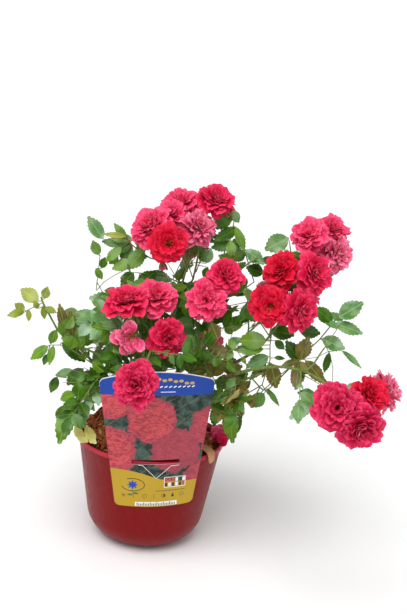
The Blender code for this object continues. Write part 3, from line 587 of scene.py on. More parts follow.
class Mass:
    """One shoot's foliage: stem, twigs and blooms first, then the leaves that find room."""

    def __init__(self, shoot):
        self.shoot, self.rng = shoot, Random(shoot.seed)
        start = shoot.bare
        gap = (CLEARANCE + 0.0001) / (shoot.at(start + 0.01) - shoot.at(start)).length * 0.01
        stem = shoot.stretch(start + gap, 1.0, 3)
        self.pieces = [tube(stem, CANE_TIP_RADIUS, STEM_TIP_RADIUS, LIMB_SIDES, shoot.way(start))]
        self.limbs = [(shoot.stretch(start, 1.0, 12), *STEM_LIMB)]
        self.slots = self.leaf_slots(0, stem, STEM_LEAF_STEP, 0.30, 1.0)
        self.bones = list(stem)
        self.bloom_pieces = []
        for spray, length in shoot.sprays:
            self.add_spray(spray, length)
        for number, bloom in enumerate(shoot.blooms):
            self.add_bloom(bloom, number)
        self.leaves = []

    def branch_point(self, target, least):
        """The last point of the stem that is at least so far from target, and its way."""
        shares = [i / 24 for i in range(1, 24)]
        reach = {share: (self.on_stem(share) - target).length for share in shares}
        far = [share for share in shares if reach[share] >= least]
        share = min(far, key=reach.get) if far else max(shares, key=reach.get)
        way = (self.on_stem(share + 0.03) - self.on_stem(share)).normalized()
        return self.on_stem(share), way

    def on_stem(self, share):
        return self.shoot.at(self.shoot.bare + (1 - self.shoot.bare) * min(1.0, share))

    def add_limb(self, curve, steps, radii):
        """A side twig along a swept curve: its plain tube, and its round limb in more steps."""
        start, out, end, aim, grip = curve
        points = sweep(start, out, end, aim, 2, grip)
        self.limbs.append((sweep(start, out, end, aim, steps, grip), *radii))
        self.pieces.append(tube(points, TWIG_RADIUS, TWIG_TIP_RADIUS, LIMB_SIDES))
        self.bones += points
        return points

    def add_spray(self, spray, length):
        start, way = self.branch_point(spray, length * 0.85)
        reach = spray - start
        aim = reach.normalized()
        end = spray - aim * min(0.5 * length, reach.length * 0.75)
        points = self.add_limb((start, (way * 0.5 + aim).normalized(), end, aim, 0.36), 8, SPRAY_LIMB)
        owner = len(self.pieces) - 1
        tail = (points[-1] - points[-2]).normalized()
        self.slots.append((owner, points[-1] - tail * 0.0015, tail, None, length))
        self.slots += self.leaf_slots(owner, points, TWIG_LEAF_STEP, 0.50, 0.92)

    def add_bloom(self, bloom, number):
        start, way = self.branch_point(bloom.middle, bloom.diameter)
        end = bloom.middle - bloom.facing * bloom.diameter / 2 * 0.30
        out = (way + (end - start).normalized()).normalized()
        self.add_limb((start, out, end, bloom.facing, 0.33), 9, BLOOM_LIMB)
        self.bones.append(bloom.middle)
        self.bloom_pieces.append(bloom_solid(bloom, self.shoot.seed * 10 + number))

    def leaf_slots(self, owner, points, step, first, size):
        """(twig, point, way, azimuth, length) for the leaves along a twig, by phyllotaxis."""
        found, turn = [], self.rng.uniform(0, 2 * pi)
        total = sum((b - a).length for a, b in zip(points, points[1:]))
        at, travelled = total * first if total > step else total, 0.0
        for a, b in zip(points, points[1:]):
            span = (b - a).length
            while at <= travelled + span and at < total * 0.92:
                way = (b - a).normalized()
                length = self.shoot.leaf * size * self.rng.uniform(0.82, 1.06)
                found.append((owner, a + way * (at - travelled), way, turn, length))
                turn += LEAF_TURN
                at += step * self.rng.uniform(0.85, 1.15)
            travelled += span
        return found

    def leaf_at(self, slot, attempt):
        """A leaf for a slot, tried round its twig until it finds room."""
        _, point, way, turn, length = slot
        outward = (point - CROWN_HEART).normalized()
        if turn is None:
            ahead = (way + outward * 0.25 * attempt).normalized()
        else:
            side = Matrix.Rotation(turn + attempt * 1.1, 3, way) @ way.orthogonal().normalized()
            ahead = way * cos(LEAF_RISE) + side * sin(LEAF_RISE)
            ahead = (ahead + outward * 0.35).normalized()
        level = Vector((outward.x, outward.y, 0.0)).normalized()
        ruffle = Vector([self.rng.uniform(-0.35, 0.35) for _ in range(3)])
        nearer = Vector((0, -1 if point.y < BACK_LINE else 1, 0))
        normal = Vector((0, 0, 0.6)) + level * 0.35 + nearer * 0.65 + ruffle
        normal = normal - ahead * normal.dot(ahead)
        if normal.length < 0.2:
            normal = Vector((0, 0, 1)) - ahead * ahead.z
        return frame_of(point, ahead, normal.normalized()), length * (1.0 - 0.13 * attempt)

    def nearest_on_limb(self, owner, point):
        """Where a leaf's stalk leaves its twig: the twig's nearest point."""
        line = self.limbs[owner][0]
        run = min(zip(line, line[1:]), key=lambda s: ((s[0] + s[1]) / 2 - point).length)
        return towards(point, *run)


def tree_of(piece, reach=0.0):
    verts, faces = piece
    return BVHTree.FromPolygons(verts, faces, epsilon=reach)


def nearest(point, bones):
    return min((point - bone).length for bone in bones)


def grow_leaves(masses, fixed):
    """Give every mass its leaves, one slot at a time, wherever nothing else stands."""
    taken = {m: [tree_of(p) for p in m.pieces + m.bloom_pieces] for m in masses}
    for mass in masses:
        others = [tree for m, trees in taken.items() if m is not mass for tree in trees]
        rival_bones = [bone for m in masses if m is not mass for bone in m.bones]
        for slot in mass.slots:
            pairs = 2 if slot[3] is None and mass.shoot.tip.y < BACK_LINE else 1
            own = taken[mass][len(mass.pieces) :]
            foot = mass.nearest_on_limb(slot[0], slot[1])
            for attempt in range(5):
                place, length = mass.leaf_at(slot, attempt)
                leaf = Leaf(slot[0], place, length, 0.14 + 0.04 * attempt, foot)
                middle = leaf.middle()
                if nearest(middle, mass.bones) > nearest(middle, rival_bones) + OWN_SPACE_SLACK:
                    continue
                shape = (length, pairs, place, leaf.droop)
                trial = tree_of(pinnate_leaf(*shape, GROW_SWELL), GROW_REACH)
                if any(trial.overlap(tree) for tree in fixed + others + own):
                    continue
                mass.leaves.append(leaf)
                taken[mass].append(tree_of(pinnate_leaf(*shape)))
                break


# ---------------------------------------------------------------- nodes and materials
def linear(hex_colour):
    """An sRGB hex colour such as '8a1c22' as linear RGBA."""
    parts = [int(hex_colour[i : i + 2], 16) / 255 for i in (0, 2, 4)]
    return [c / 12.92 if c <= 0.04045 else ((c + 0.055) / 1.055) ** 2.4 for c in parts] + [1.0]


# settings that a kind of node has unless others are given
USUAL = {
    "Mix": {"data_type": "RGBA"},
    "MapRange": {"interpolation_type": "SMOOTHSTEP"},
    "Math": {"operation": "MULTIPLY"},
}


def feed(socket, value):
    """Set a socket to a value or a hex colour, or link a socket or a node's output to it."""
    if isinstance(value, str):
        value = linear(value)
    if isinstance(value, bpy.types.Node):
        value = next(s for s in value.outputs if s.enabled)
    if isinstance(value, bpy.types.NodeSocket):
        socket.id_data.links.new(value, socket)
    else:
        socket.default_value = value


def add(tree, kind, *inputs, **settings):
    """A node with its settings; a kind without a prefix is a shader node.

    The inputs go to the sockets that the node shows, in their order. A dict names its own.
    """
    node = tree.nodes.new(kind if "Node" in kind else f"ShaderNode{kind}")
    for key, value in {**USUAL.get(kind, {}), **settings}.items():
        setattr(node, key, value)
    shown = [s for s in node.inputs if s.enabled]
    for number, value in enumerate(inputs):
        if isinstance(value, dict):
            for key, one in value.items():
                feed(node.inputs[key], one)
        else:
            feed(shown[number], value)
    return node


def set_sockets(shader, **sockets):
    """Values or links for a shader's sockets, whose names have _ for a space."""
    for key, value in sockets.items():
        feed(shader.inputs[key.replace("_", " ")], value)


def surface(name, colour, roughness, **sockets):
    """A material, its Principled shader with its even values set, and the way to add a node."""
    made = bpy.data.materials.new(name)
    made.use_nodes = True
    made.diffuse_color = linear(colour)
    shader = made.node_tree.nodes["Principled BSDF"]
    set_sockets(shader, Base_Color=colour, Roughness=roughness, IOR=1.45, **sockets)
    return made, shader, partial(add, made.node_tree)


def grain(node, size, detail=3.0, stretch=(1.0, 1.0, 1.0), **more):
    """Noise whose blotches are about size metres across."""
    scaled = node("Mapping", node("TexCoord").outputs["Object"], {"Scale": stretch})
    return node("TexNoise", scaled, 1.0 / size, detail, more)


def moulded_polypropylene():
    """Injection-moulded polypropylene: satin; its left and right flanks paler with streaky dust and a
    painted reflection of grazing light, its lip paler as a painted highlight.
    """
    made, shader, node = surface("moulded polypropylene", "80060c", 0.40, Specular_IOR_Level=0.16)
    place = node("SeparateXYZ", node("TexCoord").outputs["Object"]).outputs
    # a pale film on the left and right flanks: dust in streaks, and a painted reflection of grazing light at
    # the sides seen from the front
    flank = node("MapRange", node("Math", place["X"], operation="ABSOLUTE"), 0.035, 0.085, 0.12, 1.0)
    dust = node("MapRange", grain(node, 0.010, 6.0, Roughness=0.7), 0.40, 0.70)
    streaks = node("MapRange", grain(node, 0.008, 4.0, (1.0, 1.0, 0.10)), 0.35, 0.70, 0.15, 0.9)
    dust_and_sheen = node("Math", node("Math", dust, streaks), flank)
    body = node("Mix", grain(node, 0.05, 2.0), "720307", "7e070d")
    # the lip painted paler all round: a painted highlight along the rim
    lip = node("MapRange", place["Z"], POT_HEIGHT - LIP_HEIGHT, POT_HEIGHT - LIP_HEIGHT * 0.6)
    set_sockets(
        shader,
        Base_Color=node("Mix", lip, node("Mix", dust_and_sheen, body, "88444a"), "b42c3e"),
        Roughness=node("MapRange", dust_and_sheen, 0.0, 0.5, 0.34, 0.62),
        Normal=node("Bump", {"Height": grain(node, 0.0012, 2.0), "Distance": 0.00004}),
    )
    return made


def offset_ink(name, colour, deep):
    """Offset ink on plastic card under a gloss varnish, faintly uneven."""
    made, shader, node = surface(name, colour, 0.36, Specular_IOR_Level=0.25)
    set_sockets(
        shader,
        Base_Color=node("Mix", grain(node, 0.05, 2.0), colour, deep),
        Normal=node("Bump", {"Height": grain(node, 0.02, 1.0), "Distance": 0.00006}),
    )
    return made


def printed_picture():
    """The card's picture field: frilled coral tufts over dark green leafage, all in inks."""
    made, shader, node = surface("picture inks", "c85055", 0.36, Specular_IOR_Level=0.25)
    card = node("TexCoord").outputs["UV"]
    warp = node("TexNoise", card, 5.0, 6.0, 0.62).outputs["Color"]
    moved = node("VectorMath", warp, (0.30, 0.26, 0.26), operation="MULTIPLY")
    bent = node("VectorMath", card, moved, operation="ADD")
    tufts = node("TexVoronoi", bent, 1.9, {"Randomness": 0.8}, voronoi_dimensions="2D").outputs
    away = tufts["Distance"]
    fine = node("TexNoise", card, 30.0, 4.0, 0.7)
    level = node("Mapping", card, {"Scale": (1.0, 2.3, 1.0)})
    coarse = node("TexNoise", level, 9.0, 4.0, {"Distortion": 1.1})
    rows = node("Math", coarse, 8.0, node("Math", away, 6.0), operation="MULTIPLY_ADD")
    rows = node("Math", fine, 1.6, rows, operation="MULTIPLY_ADD")
    rows = node("Math", rows, 1.0, operation="PINGPONG")
    own = node("SeparateColor", tufts["Color"])
    frill = node("Mix", node("MapRange", rows, -0.1, 0.85), "8e303c", "cc5256")
    frill = node("Mix", node("MapRange", fine, 0.50, 0.66, 0.0, 0.35), frill, "b44a60")
    frill = node("Mix", node("MapRange", own, 0.35, 0.80, 0.0, 0.6), frill, "903e4e")
    frill = node("Mix", node("MapRange", away, 0.30, 0.56, 0.0, 0.40), frill, "8c3c50")
    leaves = node("TexNoise", card, 10.0, 3.0, {"Distortion": 0.8})
    ground = node("Mix", node("MapRange", leaves, 0.34, 0.70), "1c2925", "4a5f54")
    turned = node("Mapping", card, {"Rotation": (0, 0, 0.9)})
    blades = node("TexWave", turned, 2.1, 3.0, 1.0).outputs["Fac"]
    ground = node("Mix", node("MapRange", blades, 0.994, 1.0, 0.0, 0.4), ground, "8a9570")
    inside = node("MapRange", away, 0.52, 0.55, 1.0, 0.0)
    set_sockets(shader, Base_Color=node("Mix", inside, ground, frill))
    return made


def shredded_bark(name, dark, light):
    """Shredded conifer bark: dry, fibrous and matt, mottled between a dark and a light tone."""
    made, shader, node = surface(name, dark, 0.9, Specular_IOR_Level=0.08)
    fibre = grain(node, 0.0016, 4.0)
    mixed = node("Math", fibre, grain(node, 0.012, 2.0))
    set_sockets(
        shader,
        Base_Color=node("Mix", node("MapRange", mixed, 0.14, 0.40), dark, light),
        Normal=node("Bump", {"Height": fibre, "Distance": 0.0005}),
    )
    return made


def rose_bark(name, dark, light, roughness, depth, stain=None):
    """Rose bark: smooth and green when young, dull and fissured when old, flushed by the sun."""
    made, shader, node = surface(name, light, roughness, Specular_IOR_Level=0.4)
    streak = grain(node, 0.003, 5.0, (1.0, 1.0, 0.25))
    colour = node("Mix", node("MapRange", streak, 0.32, 0.68), dark, light)
    if stain:
        flush = node("MapRange", grain(node, 0.035, 3.0), 0.50, 0.72, 0.0, 0.75)
        colour = node("Mix", flush, colour, stain)
    set_sockets(shader, Base_Color=colour, Normal=node("Bump", {"Height": streak, "Distance": depth}))
    return made


def leaf_places(node):
    """How far along a leaflet's card a point is, and how far to either side of its midrib."""
    card = node("SeparateXYZ", node("TexCoord").outputs["UV"]).outputs
    across = node("Math", card["Y"], 0.5, operation="SUBTRACT")
    return card["X"], node("Math", across, operation="ABSOLUTE")


def leaf_blade(name, colour, deep, vein, roughness=0.36, edge=None, sky_sheen=None):
    """A rose leaflet's upper face: quilted, with a paler midrib and pale bluish patches painted in as a
    painted reflection of the sky.
    """
    made, shader, node = surface(name, colour, roughness)
    shine = node("MapRange", grain(node, 0.035, 1.0), 0.42, 0.62, 0.10, 0.55)
    along, away = leaf_places(node)
    slant = node("Math", away, -7.0, 0.0, operation="MULTIPLY_ADD")
    steps = node("Math", along, 8.0, slant, operation="MULTIPLY_ADD")
    part = node("Math", steps, 1.0, operation="PINGPONG")
    side_vein = node("MapRange", part, 0.0, 0.16, 0.55, 0.0)
    midrib = node("MapRange", away, 0.012, 0.045, 1.0, 0.0)
    veins = node("Math", side_vein, midrib, operation="MAXIMUM")
    tone = node("Mix", node("MapRange", grain(node, 0.020, 3.0), 0.34, 0.66), deep, colour)
    # pale bluish patches mixed into the colour: a painted reflection of the sky on the glossy leaf
    if sky_sheen:
        patch = node("MapRange", grain(node, 0.026, 1.5), 0.50, 0.66, 0.0, 0.80)
        tone = node("Mix", patch, tone, sky_sheen)
    if edge:
        tone = node("Mix", node("MapRange", away, 0.20, 0.52, 0.0, 0.85), tone, edge)
    set_sockets(
        shader,
        Specular_IOR_Level=shine,
        Base_Color=node("Mix", node("Math", veins, 0.55), tone, vein),
        Normal=node("Bump", {"Height": node("Math", veins, -1.0), "Distance": 0.00025}),
    )
    return made


def leaf_back(name, colour, vein):
    """A leaflet's underside: paler, matt, with the midrib standing out."""
    made, shader, node = surface(name, colour, 0.62, Specular_IOR_Level=0.12)
    _, away = leaf_places(node)
    midrib = node("MapRange", away, 0.015, 0.05, 0.8, 0.0)
    tone = node("Mix", grain(node, 0.015, 3.0), colour, vein)
    set_sockets(shader, Base_Color=node("Mix", midrib, tone, vein))
    return made


def petal_face(name, base, middle, edge, roughness=0.55):
    """A petal's face: velvety, streaked lengthwise, darker towards the claw as painted shade between the
    petals, paler at its margin as a painted highlight.
    """
    velvet = {"Sheen_Weight": 0.10, "Sheen_Roughness": 0.5, "Sheen_Tint": edge}
    made, shader, node = surface(name, middle, roughness, Specular_IOR_Level=0.10, **velvet)
    card = node("TexCoord").outputs["UV"]
    along = node("SeparateXYZ", card).outputs["Y"]
    streak = node("Mapping", card, {"Scale": (9.0, 1.2, 1.0)})
    veins = node("TexNoise", streak, 1.0, 3.0)
    # darker towards the claw: painted shade in the creases between the petals
    tone = node("Mix", node("MapRange", along, 0.25, 0.80), base, middle)
    # paler towards the margin: a painted highlight on the petal's edge
    tone = node("Mix", node("MapRange", along, 0.70, 1.0, 0.0, 0.8), tone, edge)
    tone = node("Mix", node("MapRange", grain(node, 0.004, 3.0), 0.44, 0.66), tone, middle)
    tone = node("Mix", node("MapRange", veins, 0.45, 0.72, 0.0, 0.5), tone, base)
    set_sockets(shader, Base_Color=tone, Normal=node("Bump", {"Height": veins, "Distance": 0.00018}))
    return made


def plant_flesh(name, colour, deep, size=0.006):
    """Soft green or coloured plant tissue: sepals, hips, stalks, stamens."""
    made, shader, node = surface(name, colour, 0.5)
    share = node("MapRange", grain(node, size, 2.0), 0.35, 0.65)
    set_sockets(shader, Base_Color=node("Mix", share, deep, colour))
    return made


# ---------------------------------------------------------------- mesh helpers
class Sheaf:
    """Many small shapes of one kind, gathered into one mesh of triangles."""

    def __init__(self):
        self.points, self.faces, self.cards, self.marks, self.total = [], [], [], [], 0

    def add(self, points, faces, cards=None, marks=0):
        """A shape with its card places, and the number of each face's finish."""
        self.points.append(np.array(points))
        self.faces.append(np.array(faces) + self.total)
        self.cards.append(np.zeros((len(points), 2)) if cards is None else cards)
        self.marks.append(np.zeros(len(faces), int) + marks)
        self.total += len(points)

    def piece(self, name, finishes, crisp=60.0):
        points, faces = np.vstack(self.points), np.vstack(self.faces)
        mesh = bpy.data.meshes.new(name)
        mesh.vertices.add(len(points))
        mesh.vertices.foreach_set("co", points.ravel())
        mesh.loops.add(faces.size)
        mesh.loops.foreach_set("vertex_index", faces.ravel())
        mesh.polygons.add(len(faces))
        mesh.polygons.foreach_set("loop_start", np.arange(0, faces.size, 3))
        mesh.polygons.foreach_set("material_index", np.concatenate(self.marks))
        mesh.update(calc_edges=True)
        card = mesh.uv_layers.new(name="card")
        card.data.foreach_set("uv", np.vstack(self.cards)[faces.ravel()].ravel())
        for finish in finishes:
            mesh.materials.append(finish)
        return smoothed(linked(name, mesh), crisp)


def linked(name, data):
    made = bpy.data.objects.new(name, data)
    bpy.context.scene.collection.objects.link(made)
    return made


def plain_mesh(name, verts, faces, *finishes):
    mesh = bpy.data.meshes.new(name)
    mesh.from_pydata([tuple(v) for v in verts], [], faces)
    for finish in finishes:
        mesh.materials.append(finish)
    return linked(name, mesh)


def smoothed(made, crisp):
    """An object shaded smooth, but for its edges that are sharper than so many degrees."""
    made.data.shade_smooth()
    made.data.set_sharp_from_angle(angle=radians(crisp))
    return made


def modified_mesh(made):
    """The plain mesh that an object's modifiers make of it."""
    whole = made.evaluated_get(bpy.context.evaluated_depsgraph_get())
    return bpy.data.meshes.new_from_object(whole)


def modify(made, kind, **settings):
    """Apply one modifier with its settings."""
    modifier = made.modifiers.new("shape", kind)
    for key, value in settings.items():
        setattr(modifier, key, value)
    mesh = modified_mesh(made)
    made.modifiers.clear()
    made.data = mesh
    return made


def drop(*objects):
    for made in objects:
        bpy.data.objects.remove(made, do_unlink=True)


# ---------------------------------------------------------------- node trees that repeat or follow
def new_tree(name, **inputs):
    """A geometry node tree, the sockets of its named inputs, and the way to add a node.

    An input is given by its default, or by its kind where it has none.
    """
    tree = bpy.data.node_groups.new(name, "GeometryNodeTree")
    tree.interface.new_socket("Geometry", in_out="INPUT", socket_type="NodeSocketGeometry")
    for title, default in inputs.items():
        kind = {int: "Int", float: "Float"}.get(type(default), default)
        kind, title = f"NodeSocket{kind}", title.replace("_", " ")
        socket = tree.interface.new_socket(title, in_out="INPUT", socket_type=kind)
        if not isinstance(default, str):
            socket.default_value = default
    tree.interface.new_socket("Geometry", in_out="OUTPUT", socket_type="NodeSocketGeometry")
    return tree, tree.nodes.new("NodeGroupInput").outputs, partial(add, tree)


def end_tree(tree, shape, finish):
    """Every tree ends in real geometry with its material set."""
    real = add(tree, "GeometryNodeRealizeInstances", shape)
    dressed = add(tree, "GeometryNodeSetMaterial", real, {"Material": finish})
    add(tree, "NodeGroupOutput", add(tree, "GeometryNodeSetShadeSmooth", dressed))
    return tree


def run_tree(base, tree, name, **inputs):
    """The plain mesh that a tree makes of an object, its named inputs set first."""
    modifier = base.modifiers.new("rule", "NODES")
    modifier.node_group = tree
    for item in tree.interface.items_tree:
        key = item.name.replace(" ", "_")
        if item.in_out == "INPUT" and key in inputs:
            modifier[item.identifier] = inputs[key]
    mesh = modified_mesh(base)
    drop(base)
    mesh.name = name
    return linked(name, mesh)


def pushed_out(node, shape, height, size, detail):
    """A shape pushed out along its own faces by noise of a height and a size."""
    pitch = node("Math", 1.0, size, operation="DIVIDE")
    rough = node("TexNoise", {"Scale": pitch, "Detail": detail})
    depth = node("Math", node("Math", rough, 0.5, operation="SUBTRACT"), height)
    push = node("VectorMath", node("GeometryNodeInputNormal"), depth, operation="SCALE")
    return node("GeometryNodeSetPosition", shape, {"Offset": push})


def limb_tree():
    """A round limb along each spline, as thick as its points say, with its bark in relief."""
    sizes = {"Sides": 8, "Relief": 0.0002, "Grain": 0.004, "Finish": "Material"}
    tree, given, node = new_tree("limb along a line", **sizes)
    ring = node("GeometryNodeCurvePrimitiveCircle", given["Sides"], {"Radius": 1.0})
    inputs = {"Profile Curve": ring, "Scale": node("GeometryNodeInputRadius"), "Fill Caps": True}
    skin = node("GeometryNodeCurveToMesh", given["Geometry"], inputs)
    barked = pushed_out(node, skin, given["Relief"], given["Grain"], 2.0)
    return end_tree(tree, barked, given["Finish"])


def bark_tree():
    """Knobs and furrows pushed out of a closed mesh along its own faces."""
    sizes = {"Knob_Height": 0.002, "Knob_Size": 0.008, "Furrow_Depth": 0.0008, "Furrow_Size": 0.0022}
    tree, given, node = new_tree("knobbly bark", **sizes, Finish="Material")
    knobs = pushed_out(node, given["Geometry"], given["Knob Height"], given["Knob Size"], 3.0)
    furrows = pushed_out(node, knobs, given["Furrow Depth"], given["Furrow Size"], 3.0)
    return end_tree(tree, furrows, given["Finish"])


def scatter_tree():
    """Copies of one small shape strewn over a surface, turned, tilted and scaled at random."""
    sizes = {"Tilt": 0.4, "Smallest": 0.6, "Largest": 1.2, "Hang": 0.0, "Finish": "Material"}
    start = {"Shape": "Object", "Density": 1000.0, "Seed": 1}
    tree, given, node = new_tree("strewn over a surface", **start, **sizes)
    seed, tilt = {"Seed": given["Seed"]}, given["Tilt"]
    inputs = {"Density": given["Density"], **seed}
    spots = node("GeometryNodeDistributePointsOnFaces", given["Geometry"], inputs).outputs
    hung = {"Rotation": spots["Rotation"], "Factor": given["Hang"], "Vector": (0, 0, -1)}
    turned = node("FunctionNodeAlignRotationToVector", hung, axis="X", pivot_axis="Z")
    less = node("Math", tilt, -1.0)
    free = node("Math", 1.0, given["Hang"], operation="SUBTRACT")
    low = node("CombineXYZ", less, less, 0.0)
    high = node("CombineXYZ", tilt, tilt, node("Math", free, 2 * pi))
    lean = node("FunctionNodeRandomValue", low, high, seed, data_type="FLOAT_VECTOR")
    lean = node("FunctionNodeEulerToRotation", lean)
    way = node("FunctionNodeRotateRotation", turned, lean, rotation_space="LOCAL")
    size = node("FunctionNodeRandomValue", given["Smallest"], given["Largest"], seed)
    shape = node("GeometryNodeObjectInfo", {"Object": given["Shape"], "As Instance": True})
    inputs = {"Instance": shape.outputs["Geometry"], "Rotation": way, "Scale": size}
    copies = node("GeometryNodeInstanceOnPoints", spots["Points"], inputs)
    return end_tree(tree, copies, given["Finish"])


def lines_of(limbs):
    """Poly splines along limbs, each given as (points, first radius, last radius)."""
    data = bpy.data.curves.new("lines", "CURVE")
    data.dimensions = "3D"
    for points, thick, thin in limbs:
        line, last = data.splines.new("POLY"), len(points) - 1
        line.points.add(last)
        for i, point in enumerate(points):
            line.points[i].co = (*point, 1.0)
            line.points[i].radius = thick + (thin - thick) * i / last
    return linked("lines", data)


def put(points, place):
    """Points moved by a 4x4 matrix."""
    m = np.array(place)
    return points @ m[:3, :3].T + m[:3, 3]


# ---------------------------------------------------------------- leaflets
TEETH = 8  # serrations on each side of a leaflet
LEAFLET_THICKNESS = 0.00028
LEAFLET_SWELL = [sin(pi * (k / TEETH) ** 0.92) ** (0.66 + 0.5 * k / TEETH) for k in range(TEETH)] + [0.0]


def leaflet_faces():
    """Corner numbers of a leaflet's two sheets; the point table is the one leaflet() fills."""
    low = [0, *range(TEETH + 1, 2 * TEETH), TEETH]
    start, found = 2 * TEETH, ([], [])
    for turn in (1, -1):
        inner = [0, *range(start, start + TEETH - 1), TEETH]
        notch = [0, *range(start + TEETH - 1, start + 2 * TEETH - 2), TEETH]
        for k in range(TEETH):
            a, b, t, p, q = k, k + 1, start + 2 * TEETH - 2 + k, inner[k], inner[k + 1]
            m, n = notch[k], notch[k + 1]
            upper = [(a, b, q), (a, q, p), (p, q, t), (p, t, m), (q, n, t)]
            lower = [(low[k], m, t), (low[k], t, low[k + 1]), (low[k + 1], t, n)]
            for sheet, faces in zip((upper, lower), found):
                faces.extend(face[::turn] for face in sheet if len(set(face)) == 3)
        start += 3 * TEETH - 2
    top, bottom = found
    return np.array(top + bottom), np.array([0] * len(top) + [1] * len(bottom))


LEAFLET_FACES, LEAFLET_MARKS = leaflet_faces()


def leaflet(length, half, fold, arch, droop, wave, phase):
    """Points of one serrated leaflet, base at the origin, tip along +X, and their card places.

    fold lifts its halves from the midrib, arch rounds them down, droop lets the tip hang, and
    wave is the height of the ripples along its margin.
    """
    k = np.arange(TEETH + 1) / TEETH
    wide = np.array(LEAFLET_SWELL) * half
    x = [k, k[1:-1]]
    y = [0 * k, 0 * k[1:-1]]
    z = [0 * k, 0 * k[1:-1] - LEAFLET_THICKNESS]
    step = 1 / TEETH
    for side in (1, -1):
        tooth = (wide[:-1] + wide[1:]) / 2 + half * 0.09
        x += [k[1:-1] + step * 0.2, k[1:-1], k[:-1] + step * 0.74]
        y += [side * wide[1:-1] * 0.52, side * wide[1:-1] * 0.97, side * tooth]
        z += [wide[1:-1] * 0.03 + 0.0002, 0 * k[1:-1], 0 * k[:-1] + 0.0001]
    x, y, z = np.concatenate(x), np.concatenate(y), np.concatenate(z)
    share = np.abs(y) / half
    z = z + np.abs(y) * fold - arch * half * share**2 - droop * length * x**2
    z = z + wave * share**2 * np.sin(x * 13.0 + phase + np.sign(y) * 1.3)
    points = np.column_stack([x * length, y, z])
    return points, np.column_stack([x, 0.5 + 0.5 * y / half])


def add_leaflet(sheaf, place, *shape):
    points, cards = leaflet(*shape)
    sheaf.add(put(points, place), LEAFLET_FACES, cards, LEAFLET_MARKS)


# ---------------------------------------------------------------- petals
ACROSS, ALONG = 7, 6
PETAL_THICKNESS = 0.00032
PETAL_U, PETAL_V = np.meshgrid(np.linspace(-1, 1, ACROSS), [0.0, 0.24, 0.47, 0.69, 0.87, 1.0])


def petal_faces():
    """Corner numbers of a petal's face and reverse, which share the points of its margin."""
    lower, extra = {}, ACROSS * ALONG
    for j in range(ALONG):
        for i in range(ACROSS):
            if 0 < i < ACROSS - 1 and 0 < j < ALONG - 1:
                lower[i, j] = extra
                extra += 1
            else:
                lower[i, j] = j * ACROSS + i
    faces, marks = [], []
    for j in range(ALONG - 1):
        for i in range(ACROSS - 1):
            crossed = (i, j) in ((0, ALONG - 2), (ACROSS - 2, 0))
            for mark in (0, 1):
                ring = [(i, j), (i, j + 1), (i + 1, j + 1), (i + 1, j)]
                a, b, c, d = [lower[p] if mark else p[1] * ACROSS + p[0] for p in ring]
                pair = [(a, b, d), (b, c, d)] if crossed else [(a, b, c), (a, c, d)]
                faces += [f[::-1] if mark else f for f in pair]
                marks += [mark, mark]
    inner = [j * ACROSS + i for (i, j), n in lower.items() if n >= ACROSS * ALONG]
    return np.array(faces), np.array(marks), np.array(inner)


PETAL_FACES, PETAL_MARKS, PETAL_INNER = petal_faces()


def petal(radius, turn, foot, rise, lean, length, half, cup, ruffle, notch, twist, rng):
    """Points and card places of one petal on a bloom that faces +X.

    lean is the petal's angle from the axis at its claw and at its margin, in degrees; foot and
    rise are where the claw stands. Lengths are shares of the bloom's radius.
    """
    u, v = PETAL_U, PETAL_V
    share = v * (1 - 0.30 * np.abs(u) ** 2.6 - notch * np.exp(-((u / 0.25) ** 2)))
    table = np.linspace(0, 1, 17)
    angle = np.radians(lean[0] + (lean[1] - lean[0]) * table**1.3)
    step = length * radius / 16
    out = foot * radius + np.concatenate([[0], np.cumsum(np.sin(angle[1:]))]) * step
    up = rise * radius + np.concatenate([[0], np.cumsum(np.cos(angle[1:]))]) * step
    out, up = np.interp(share, table, out), np.interp(share, table, up)
    lean_at = np.interp(share, table, angle)
    wide = half * radius * (0.26 + 0.74 * np.sin(pi / 2 * np.minimum(1, share / 0.74)))
    side = u * wide
    lift = cup * wide * u * u * (0.3 + 0.7 * share)
    phases = rng.uniform(0, 2 * pi, 2)
    ripple = np.sin(u * 4.2 + phases[0]) + 0.6 * np.sin(u * 8.5 + phases[1])
    lift = lift + ruffle * half * radius * share**2 * ripple
    lift = lift + rng.normal(0, 0.016 * radius, u.shape) * share
    roll = twist * share
    side, lift = side * np.cos(roll) - lift * np.sin(roll), side * np.sin(roll) + lift * np.cos(roll)
    x = up + np.sin(lean_at) * lift
    y = out - np.cos(lean_at) * lift
    normal = np.stack([np.sin(lean_at), -np.cos(lean_at), 0 * x], -1).reshape(-1, 3)
    points = np.stack([x, y, side], -1).reshape(-1, 3)
    points = np.vstack([points, points[PETAL_INNER] - normal[PETAL_INNER] * PETAL_THICKNESS])
    spin = np.array([[1, 0, 0], [0, cos(turn), -sin(turn)], [0, sin(turn), cos(turn)]])
    shift = rng.uniform(0, 1)
    cards = np.column_stack([(u / 2 + shift * 7).ravel(), v.ravel()])
    return points @ spin.T, np.vstack([cards, cards[PETAL_INNER]])


def add_petal(sheaf, place, *shape, finishes=2):
    """A petal put in its place, its reverse in the sheaf's second finish if it has two."""
    points, cards = petal(*shape)
    sheaf.add(put(points, place), PETAL_FACES, cards, PETAL_MARKS * (finishes - 1))


# ---------------------------------------------------------------- the sprigs of the front
class Sprig:
    """A set sprig, all at one depth: its twig's line from the side that joins on, and leaflets.

    Points are places (u, v) in the camera's frame, seen on the plane y = depth. A leaflet is its
    foot, its tip, its half width in the frame and its tint; the twig's radius is in millimetres.
    """

    def __init__(self, name, depth, radius, line, leaflets):
        self.name, self.radius = name, radius / 1000
        self.line = [placed(u, v, depth) for u, v in line]
        self.leaflets = [
            (placed(u, v, depth), placed(to_u, to_v, depth), half * frame_step(u, v, depth), tint)
            for u, v, to_u, to_v, half, tint in leaflets
        ]


